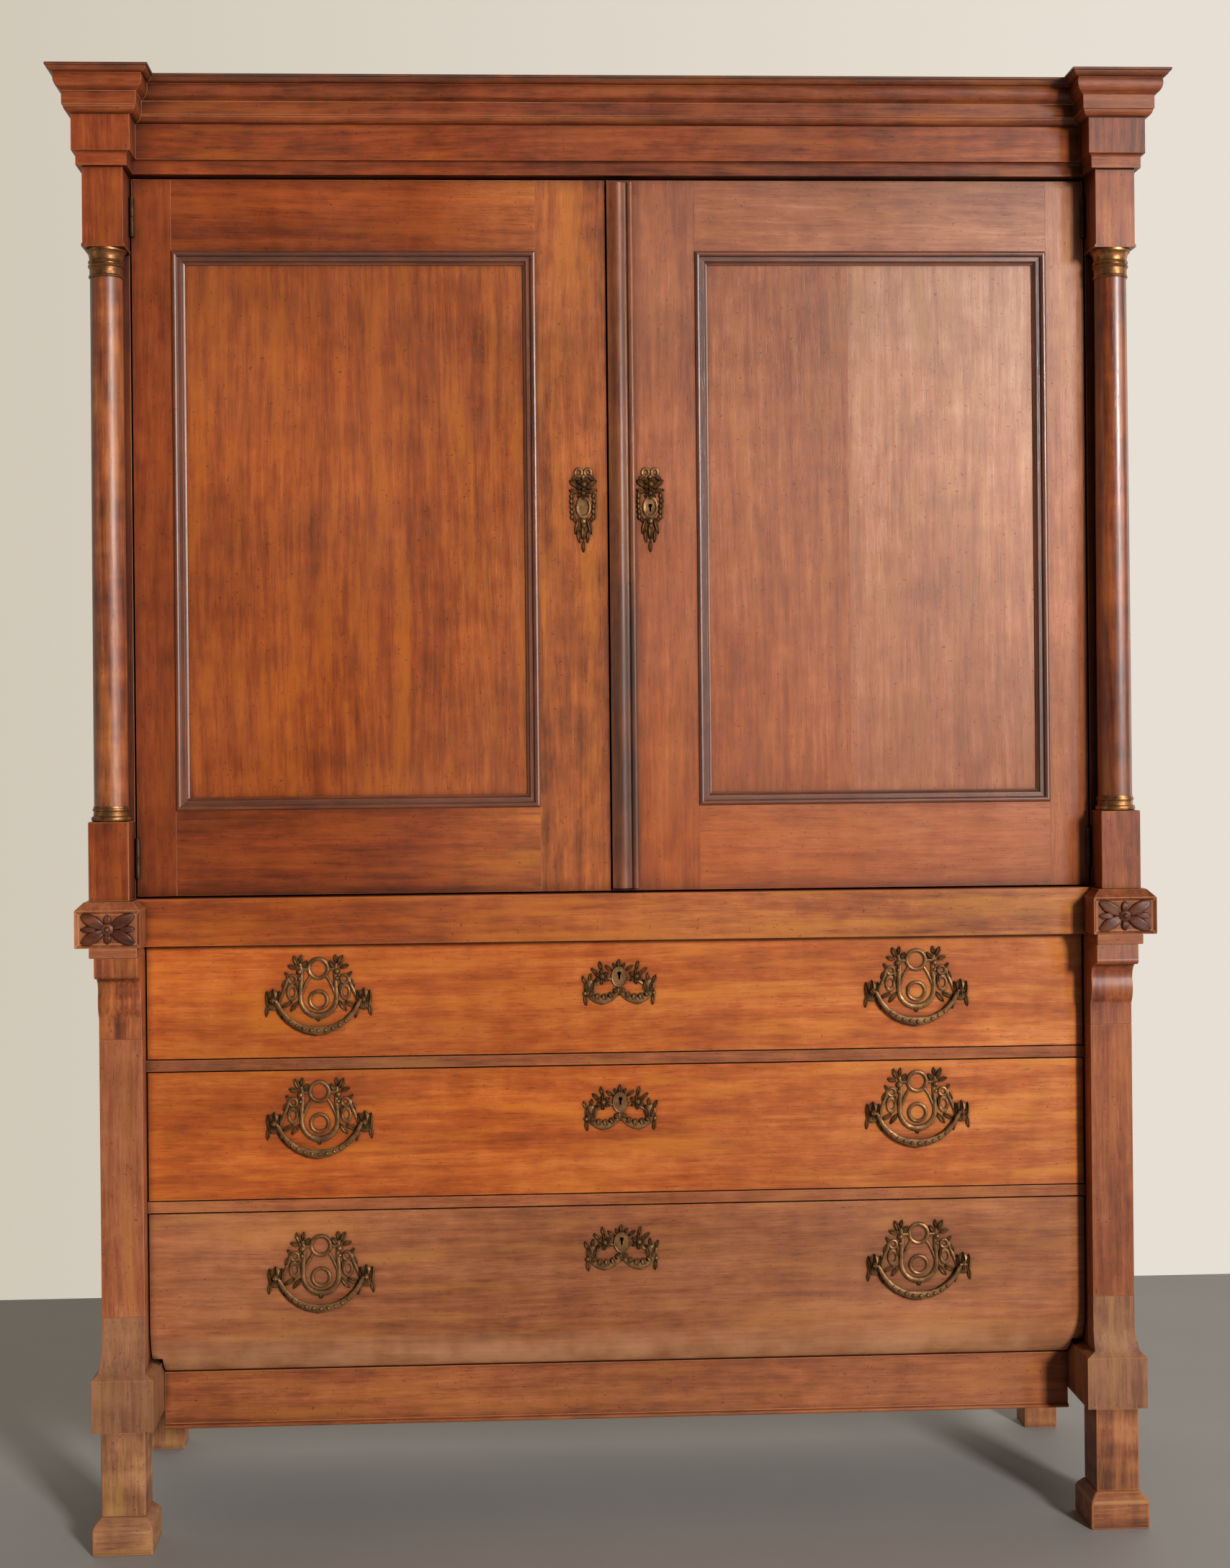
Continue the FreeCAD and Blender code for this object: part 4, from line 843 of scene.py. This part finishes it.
def mirrored(pieces, x):
    """Copies of pieces, mirrored in the upright plane at x."""
    twins = [own_copy(piece, piece.name + "_mirrored") for piece in pieces]
    for twin in twins:
        open_mesh(twin)
        bpy.ops.transform.resize(value=(-1, 1, 1), center_override=(x, 0, 0))
        bpy.ops.mesh.normals_make_consistent(inside=False)
        close_mesh()
    return twins


# %% [markdown]
# The shield under every key is an oval with a sunk field. It starts as a short cylinder, its front
# face is inset and pushed back, and its rims are rounded. A keyhole is cut with a round bar and
# a flat one, joined into one cutter.

# %% The shield with its keyhole
SHIELD_RIM = 1.6 * MM
SHIELD_SUNK = 1.1 * MM
SHIELD_EASED = 0.5 * MM
KEYHOLE_R = 3.4 * MM
KEY_SLOT_WIDE = 3.2 * MM
KEY_SLOT_TALL = 10 * MM
THROUGH = 20 * MM          # length of a cutter, enough to leave any plate on both sides


def keyhole_plate(centre, wide, high, proud, lift):
    """An oval shield, with a keyhole that much above its middle unless lift is None."""
    bpy.ops.object.select_all(action="DESELECT")
    bpy.ops.mesh.primitive_cylinder_add(vertices=32, radius=0.5, depth=1, rotation=(math.pi / 2, 0, 0),
                                        location=at(centre, 0, 0, proud / 2),
                                        scale=(wide * MM, high * MM, proud * MM))
    shield = settle(bpy.context.object)
    open_mesh(shield)
    pick(shield, lambda face: face.normal.y < -0.9)
    bpy.ops.mesh.inset(thickness=SHIELD_RIM)
    bpy.ops.transform.translate(value=(0, SHIELD_SUNK, 0))
    close_mesh()
    eased(shield, SHIELD_EASED, material=-1)
    if lift is None:
        return shield
    bpy.ops.mesh.primitive_cylinder_add(vertices=20, radius=KEYHOLE_R, depth=THROUGH,
                                        location=at(centre, 0, lift + 2), rotation=(math.pi / 2, 0, 0))
    cutter = bpy.context.object
    bpy.ops.mesh.primitive_cube_add(size=1, location=at(centre, 0, lift - 3),
                                    scale=(KEY_SLOT_WIDE, THROUGH, KEY_SLOT_TALL))
    only(cutter, bpy.context.object)
    bpy.ops.object.join()
    settle(cutter)
    modified(shield, "BOOLEAN", operation="DIFFERENCE", object=cutter, solver="EXACT", use_self=True)
    bpy.data.objects.remove(cutter)
    return shield


# %% [markdown]
# ## Handles
# Each handle plate is a lyre: two stems that sweep down into a heavy bow, a ring between their
# heads and another in the bow, scroll straps out to a fluted boss at each end, and leaves that
# fill the gaps. One handle is modelled at the top left drawer position and the rest are copies,
# each moved to its own joint. Only the right half of the small parts is drawn, and mirrored.

# %% The handle plate
PIVOTS = {joint["child"]: Vector(joint["pos_m"]) for joint in frame["joints"] if joint["type"] == "hinge"}
DRAWER_FACE_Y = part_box("drawer_1_front")[0].y
PIN_X = 73
first_pivot = PIVOTS["drawer_1_left_bail"]
handle_at = Vector((first_pivot.x, DRAWER_FACE_Y, first_pivot.z))


def handle_plate(centre):
    sunk = at(centre, 0, 0, 1.0)
    lyre = scroll(sunk, (29.3, 58), -106, [(60, 22, 1.15), (315, -6, 1.1), (29, -90, 1.35),
                                           (29, -90, 1 / 1.35), (315, -6, 0.9), (60, 22, 0.87)], 6.2)
    middle = [ring(sunk, 0, 50, 15.4, 6.6), ring(sunk, 0, -1, 14.2, 5.8), leaf(centre, 0, -29, 9, 14, 6, 180)]
    links = [scroll(sunk, (12, 39), -52, [(70, -18, 1.0), (16, 0, 0.8)], 4.8),
             scroll(sunk, (14, 49), 0, [(15, 0, 1.0)], 5.5)]
    head = leaves(centre, [(22, 57, 8, 15, 5, -38), (36, 63, 9, 19, 5.5, 24), (28, 66, 7, 14, 5, -8),
                           (42, 53, 8, 16, 5, 72)])
    head += [dome(centre, 30, 45, 11, 11, 7.5), dome(centre, 30, 34, 8, 8, 6)]
    strap = [ring(sunk, 42, 33, 6.2, 4.8), leaf(centre, 50, 40, 6, 13, 4.5, 40),
             ring(sunk, 43, 12, 6.6, 4.6, 1.6),
             scroll(sunk, (49, 36), -78, [(90, 10, 1.1), (24, 0, 0.9)], 5.2)]
    strap += leaves(centre, [(36, 19, 6, 20, 4.5, 6), (55, 26, 6, 15, 4.5, -24), (39, -11, 8.5, 22, 5, 142),
                             (51, -8, 8, 20, 5, 116)])
    boss = [dome(centre, PIN_X, -1, 27, 34, 5.5)]
    boss += leaves(centre, [(PIN_X - 8, 1, 8, 29, 8.5, -8), (PIN_X, 2, 8, 34, 9.5, 0),
                            (PIN_X + 8, 1, 8, 29, 8.5, 8), (PIN_X + 10, -17, 7, 22, 4.5, 172),
                            (PIN_X - 12, -20, 7, 24, 4.5, 190)])
    post = dome(centre, PIN_X, 0, 11, 12, 15)
    half = links + head + strap + boss + [post]
    return [lyre] + middle + half + mirrored(half, centre.x)


def cast(pieces, name):
    """Join castings into one piece of brass."""
    whole = joined(pieces, name)
    whole.data.materials.clear()
    whole.data.materials.append(CAST)
    return whole


plate = cast(handle_plate(handle_at), "handle_plate")
low, high = span(plate)
print("handle plate", len(plate.data.polygons), "faces,", [round(c, 3) for c in high - low])

# %% [markdown]
# The bail is a crescent that hangs from a short pin at each boss, thickest at its lowest point,
# with a row of beads on its front that shrink towards the ends. It is drawn round its own
# joint, so that it swings true.

# %% The bail
BAIL_RADIUS = 71.0          # of the crescent's middle line, in millimetres
BAIL_ARC = 69.6             # degrees of it on each side
BAIL_CENTRE = 21.7          # how far the middle of that arc lies above the pins
BEADS_EACH_SIDE = 4
BEAD_STEP = 9.6             # degrees from one bead to the next


def bail(centre):
    """Crescent with a row of beads and a short pin at each end."""
    crescent = scroll(centre, (66.5, -3), BAIL_ARC - 180, [(BAIL_RADIUS, -BAIL_ARC, 2.6),
                                                           (BAIL_RADIUS, -BAIL_ARC, 1 / 2.6)],
                      5.6, proud=0.4, sides=12)
    beads = []
    for k in range(-BEADS_EACH_SIDE, BEADS_EACH_SIDE + 1):
        way = math.radians(k * BEAD_STEP)
        size = 7.2 - 0.45 * abs(k)
        beads.append(dome(at(centre, 0, 0, 1.9), BAIL_RADIUS * math.sin(way),
                          BAIL_CENTRE - BAIL_RADIUS * math.cos(way), size, size, 3.6 - 0.3 * abs(k)))
    half = [scroll(centre, (66.3, -3.5), 62, [(4, 0, 0.9)], 5.2, proud=0.8),
            scroll(centre, (66, 0), 0, [(11, 0, 0.9)], 4.0, proud=1.0)]
    return [crescent] + beads + half + mirrored(half, centre.x)


first_bail = cast(bail(first_pivot), "bail")
print("bail", len(first_bail.data.polygons), "faces")

# %% [markdown]
# ## Key plates
# The drawers have wide key plates: a shield with a little crown, a flower on each side, and two
# heavy festoons of husks.

# %% Key plates of the drawers
KEY_DROP = 56 * MM          # from the top of a drawer's front to the middle of its plate
key_at = Vector((0, DRAWER_FACE_Y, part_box("drawer_1_front")[1].z - KEY_DROP))


def drawer_key_plate(centre):
    sunk = at(centre, 0, 0, 0.8)
    shield = keyhole_plate(at(centre, 0, -3), 25, 34, 4.2, 3)
    whole = [shield] + leaves(centre, [(0, 18, 8.5, 15, 5.5), (0, -26, 10, 17, 5, 180)])
    half = leaves(centre, [(7.5, 14.5, 5.5, 11, 4.5, 28), (17, 11, 7, 15, 5, 52), (30, 15, 7.5, 15, 5, 14),
                           (40, 6, 7, 16, 4.5, 48)])
    half += [scroll(sunk, (13, -8), 30, [(16, -80, 1.0), (12, 90, 0.8)], 5),
             dome(centre, 48, -19, 22, 24, 3.5)]
    half += leaves(centre, [(43, -18, 8, 20, 6.5, -14), (52, -19, 8, 20, 6.5, 10), (57, -8, 7, 16, 4.5, 24),
                            (47, -4, 7, 14, 4.5, -8)])
    half += [scroll(sunk, (54, -26), -118, [(30, -58, 2.2), (30, -60, 0.45)], 6.5, proud=0.55),
             leaf(centre, 55, -41, 7, 19, 4.5, 186), dome(centre, 56, -30, 8, 8, 5.5)]
    half += flower(centre, 28, -3, 12.5)
    for k in range(6):
        way = math.radians(-26 - 24 * k)
        size = 11 - 1.1 * abs(k - 2.5)
        half.append(leaf(at(centre, 0, 0, 1.5), 28 + 27 * math.cos(way), -12 + 25 * math.sin(way),
                         size, size * 1.2, 5.2, 90 - math.degrees(way)))
    return whole + half + mirrored(half, centre.x)


key_plate = cast(drawer_key_plate(key_at), "drawer_key_plate")
print("key plate", len(key_plate.data.polygons), "faces")

# %% [markdown]
# The doors have tall key plates: a ribbon bow, two flowers, leaves, husks down both sides of an
# oval shield, and a long leaf drop. The left door's plate is blind, because its bolts hold it.

# %% Key plates of the doors
def door_key_plate(centre, pierced):
    sunk = at(centre, 0, 0, 0.8)
    whole = [keyhole_plate(centre, 17, 27, 3.2, 0 if pierced else None), ring(sunk, 0, 0, 10.5, 4.5, 1.5),
             dome(centre, 0, 49, 9, 9, 6), dome(centre, 0, -23, 10, 12, 5.5),
             leaf(centre, 0, -40, 10, 28, 5.5, 180), dome(centre, 0, -31, 8, 9, 6),
             leaf(centre, 0, -64, 7, 20, 4.5, 180)]
    whole += flower(centre, 1, 37, 13) + flower(centre, 0, 22, 10.5)
    half = [ring(sunk, 7.5, 56, 5.4, 4.6, 1.15)]
    half += leaves(centre, [(13, 48, 8, 17, 4.5, 128), (15, 38, 9, 19, 5, 52), (15, 26, 8.5, 18, 5, 78)])
    half += [scroll(sunk, (18, 27), -80, [(80, -14, 1.0), (28, -30, 0.6)], 4.5)]
    half += leaves(centre, [(10, -31, 8.5, 28, 5, 166), (7.5, -47, 7, 24, 4.5, 186),
                            (14, -19, 7, 14, 4.5, 200)])
    husks = [(18.5 - 0.5 * abs(k - 1), 18 - 8.5 * k, 8.5, 10, 4.5, 180) for k in range(5)]
    half += leaves(at(centre, 0, 0, 1.0), husks)
    return whole + half + mirrored(half, centre.x)


# %% [markdown]
# The patterns are now copied to their places. A drawer's two handle plates and its key plate move
# with the drawer, and each bail has a body of its own. On a door, the frame's node also holds the
# moving halves of the hinges. Those are kept as they are in the frame, and only the key plate,
# its first solid, is replaced by the casting.

# %% Brasswork in its places
for number in (1, 2, 3):
    drawer = f"drawer_{number}"
    low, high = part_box(drawer + "_front")
    parts = [across(key_plate, (0, 0, high.z - KEY_DROP - key_at.z))]
    for side in ("left", "right"):
        node = f"{drawer}_{side}_bail"
        move = PIVOTS[node] - first_pivot
        parts.append(across(plate, move))
        hung = across(first_bail, move)
        hung.name = node + "_cast"
        stands_for(hung, node)
    stands_for(cast(parts, drawer + "_brasses_cast"), drawer + "_brasses")
for pattern in (plate, first_bail, key_plate):
    bpy.data.objects.remove(pattern)

DOOR_FACE_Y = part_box("left_door_frame")[0].y
HINGE_EASED = 0.5 * MM
lock_low, lock_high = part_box("right_door_lock")
for side in ("left", "right"):
    node = side + "_door_brasses"
    plain_plate = board_copy(node, boards_of(node)[0], "plain_key_plate")
    low, high = span(plain_plate)
    bpy.data.objects.remove(plain_plate)
    tall = high.z - low.z
    centre = Vector(((low.x + high.x) / 2, DOOR_FACE_Y, (lock_low.z + lock_high.z) / 2))
    door_plate = cast(door_key_plate(centre, side == "right"), side + "_door_key_plate")
    hinges = softened(node, (SHADE_DARK_HINGE, SHADE_DARK_HINGE), HINGE_EASED, keep=lambda a, b: abs((b.z - a.z) - tall) > MM,
                      name=side + "_door_hinge_halves")
    stands_for(joined([door_plate, hinges], node + "_cast"), node)
stands_for(softened("hinge_pins", (SHADE_DARK_HINGE, SHADE_DARK_HINGE), HINGE_EASED), "hinge_pins")

# %% [markdown]
# ## Carved blocks
# A square block with bevelled top edges sits under each column, on a low fillet. Its front was
# carved: a sunk field with four long leaves that run into the corners, four short ones between
# them, and a boss in two steps. The field is made by insetting the block's front face and
# pushing it back, and the leaves are the same pressed domes as in the brass, larger and in a
# darker wood than the block's.

# %% The blocks under the columns
FIELD_BORDER = 6 * MM
FIELD_DEPTH = 5 * MM
FIELD_MIDDLE = 29.5 * MM          # above the foot of the block
FILLET_MAX = 50 * MM              # a board lower than this is a fillet, and isn't carved
BLOCK_EASED = 1.5 * MM
BLOCK_ANGLE = 30                  # degrees, so that the shallow bevels are rounded as well


def carved_block(faces):
    """A block with its carving, or the plain fillet under one, as a list of pieces."""
    block = board_copy("rosette_blocks", faces, "rosette_board")
    low, high = span(block)
    is_fillet = high.z - low.z <= FILLET_MAX
    if not is_fillet:
        open_mesh(block)
        pick(block, lambda face: face.normal.y < -0.99 and face.calc_center_median().y < low.y + MM)
        bpy.ops.mesh.inset(thickness=FIELD_BORDER)
        bpy.ops.transform.translate(value=(0, FIELD_DEPTH, 0))
        close_mesh()
    finished(block, PILLAR)
    eased(block, BLOCK_EASED, BLOCK_ANGLE)
    lay_figure(block, "X" if is_fillet else "Z")
    if is_fillet:
        return [block]
    centre = Vector(((low.x + high.x) / 2, low.y + FIELD_DEPTH, low.z + FIELD_MIDDLE))
    carving = leaves(centre, [(24 * sx, 13 * sz, 20, 42, 8, sx * (90 - sz * 30))
                              for sx in (-1, 1) for sz in (-1, 1)])
    carving += leaves(centre, [(0, 15 * sz, 12, 18, 7, 90 - sz * 90) for sz in (-1, 1)])
    carving += leaves(centre, [(30 * sx, 0, 11, 26, 6, sx * 90) for sx in (-1, 1)])
    carving += [dome(centre, 0, 0, 21, 21, 6), dome(centre, 0, 0, 12, 12, 10)]
    for piece in carving:
        piece.data.materials.append(CARVED)
        lay_figure(piece, "X")
    return [block] + carving


rosettes = []
for faces in boards_of("rosette_blocks"):
    rosettes += carved_block(faces)
blocks = flat_lit(joined(rosettes, "rosette_blocks_finished"))
stands_for(blocks, "rosette_blocks")
print("carved blocks", len(blocks.data.polygons), "faces")

# %% [markdown]
# ## The room
# The floor is a plain pale sheet that ends a little behind the cupboard, where a room's wall would
# begin. The world beyond it is a soft warm white, like plaster, with painted shade on it: darker
# towards the left and below, lighter towards the right and above. The half of it behind the
# viewer gives little light, but looks as pale as the rest to the camera.

# %% Floor and walls
FLOOR_WIDE = 90.0
FLOOR_LONG = 60.0
FLOOR_BACK = 1.3          # how far behind the middle of the cupboard the floor ends
GROUND = rgb(112, 108, 104)


def studio_floor():
    bpy.ops.mesh.primitive_plane_add(size=1, location=(0, FLOOR_BACK - FLOOR_LONG / 2, 0))
    bpy.ops.transform.resize(value=(FLOOR_WIDE, FLOOR_LONG, 1))
    floor = bpy.context.object
    floor.name = "floor"
    settle(floor)
    finish, tree, shader = new_finish("pale floor")
    place = step(tree, "TexCoord").node.outputs["Object"]
    cloud = ranged(tree, noise(tree, place, (1.5, 1.5, 1.5), 4), 0.3, 0.7)
    tree.links.new(mixed(tree, cloud, rgb(162, 160, 157), rgb(170, 168, 165)), shader.inputs["Base Color"])
    shader.inputs["Roughness"].default_value = 0.7
    floor.data.materials.append(finish)


def plaster_room():
    world = bpy.context.scene.world or bpy.data.worlds.new("room")
    bpy.context.scene.world = world
    world.use_nodes = True
    room = world.node_tree
    way = step(room, "SeparateXYZ", {"Vector": step(room, "TexCoord").node.outputs["Generated"]})
    behind = ranged(room, way.node.outputs["Y"], -0.1, 0.5)
    low = ranged(room, way.node.outputs["Z"], -0.02, -0.05)
    # Painted shade on the wall: darker towards the left and below, lighter towards the right and above.
    wall = mixed(room, ranged(room, way, -0.28, 0.28), rgb(206, 197, 181), rgb(231, 223, 211))
    lit_by = mixed(room, behind, mixed(room, low, rgb(38, 35, 32), GROUND), wall)
    low_in_front = maths(room, "MULTIPLY", low, maths(room, "SUBTRACT", 1.0, behind))
    seen = mixed(room, low_in_front, wall, GROUND)
    looking = step(room, "LightPath").node.outputs["Is Camera Ray"]
    fill(room, room.nodes["Background"], {"Color": mixed(room, looking, lit_by, seen), "Strength": 1.0})


studio_floor()
plaster_room()
bpy.context.scene.view_settings.view_transform = "Standard"
print("floor", FLOOR_WIDE, "by", FLOOR_LONG, "metres")

# %% [markdown]
# A single window stands far off in front on the right. It does nearly all of the lighting, so
# the right-hand columns and the ends of the cornice throw dark, clear shadows to the left, and
# the ceiling adds only a trace. The window's reflection comes from a panel of its own, further
# to the side, where it lies well in the wax of the right-hand door. Four more panels are also
# left out of the matt light and only show as gloss: a glow on the upper right, the pale stripe
# on each column, and a wall's reflection on the far right and the far left.

# %% Light
DAYLIGHT = (1.0, 0.98, 0.95)
SKYLIGHT = (1.0, 0.98, 0.96)
OFF_THE_WALL = (1.0, 0.97, 0.92)
OFF_THE_FAR_WALL = (1.0, 0.98, 0.93)


def panel_light(name, place, aim, wide, high, power, colour, gloss_only=False, matt_only=False):
    bpy.ops.object.light_add(type="AREA", location=place)
    lamp = bpy.context.object
    lamp.name = name
    lamp.data.shape = "RECTANGLE"
    lamp.data.size = wide
    lamp.data.size_y = high
    lamp.data.energy = power
    lamp.data.color = colour
    lamp.rotation_euler = (Vector(aim) - Vector(place)).to_track_quat("-Z", "Y").to_euler()
    lamp.visible_diffuse = not gloss_only
    lamp.visible_glossy = not matt_only


panel_light("window", (4.1, -9.7, 3.6), (0.1, 0, 1.2), 1.2, 1.7, 1060, DAYLIGHT, matt_only=True)
panel_light("window shine", (6.2, -8.6, 3.6), (0.1, 0, 1.2), 1.2, 1.7, 950, DAYLIGHT, gloss_only=True)
panel_light("ceiling", (0.0, -1.6, 4.2), (0, 0, 1.0), 3.0, 2.0, 1.5, DAYLIGHT)
panel_light("window glow", (3.4, -5.0, 3.1), (0.6, 0, 1.8), 1.4, 1.0, 34, SKYLIGHT, gloss_only=True)
panel_light("side window", (4.6, -2.6, 2.1), (0.8, 0, 1.9), 1.2, 2.2, 48, SKYLIGHT, gloss_only=True)
panel_light("right wall", (4.2, 1.4, 1.8), (0.8, -0.2, 1.6), 1.0, 2.6, 16, OFF_THE_WALL, gloss_only=True)
panel_light("left wall", (-3.6, -1.2, 1.5), (-0.8, 0, 1.5), 1.4, 3.0, 9, OFF_THE_FAR_WALL, gloss_only=True)

# %% [markdown]
# The camera stands a little left of the middle, at chest height, with a lens a touch longer than
# normal. Its direction is built from three perpendicular axes: forward, right and up. The whole
# image is 1708 by 2178 pixels, and the lens shift says how far its centre is off the axis.

# %% Camera
PICTURE_H = 2178                  # the longer side of the image, in pixels
FOCAL_PIXELS = 2908.5
AXIS_AT = (-51.1, -63.4)          # where the lens axis meets the image, from its middle, in pixels
SENSOR = 36.0                     # millimetres along the longer side
YAW = 0.0450                      # radians to the right
ROLL = -0.00965
EYE = Vector((-0.216, -3.5935, 1.285))

forward = Vector((math.sin(YAW), math.cos(YAW), 0))
level = Vector((math.cos(YAW), -math.sin(YAW), 0))
upward = level.cross(forward)
right = level * math.cos(ROLL) + upward * math.sin(ROLL)
up = upward * math.cos(ROLL) - level * math.sin(ROLL)
bpy.ops.object.camera_add()
camera = bpy.context.object
camera.matrix_world = Matrix(((right.x, up.x, -forward.x, EYE.x), (right.y, up.y, -forward.y, EYE.y),
                              (right.z, up.z, -forward.z, EYE.z), (0, 0, 0, 1)))
camera.data.sensor_width = SENSOR
camera.data.lens = FOCAL_PIXELS * SENSOR / PICTURE_H
camera.data.shift_x = -AXIS_AT[0] / PICTURE_H
camera.data.shift_y = AXIS_AT[1] / PICTURE_H
bpy.context.scene.camera = camera
print("lens", round(camera.data.lens, 2), "shift", camera.data.shift_x, camera.data.shift_y)
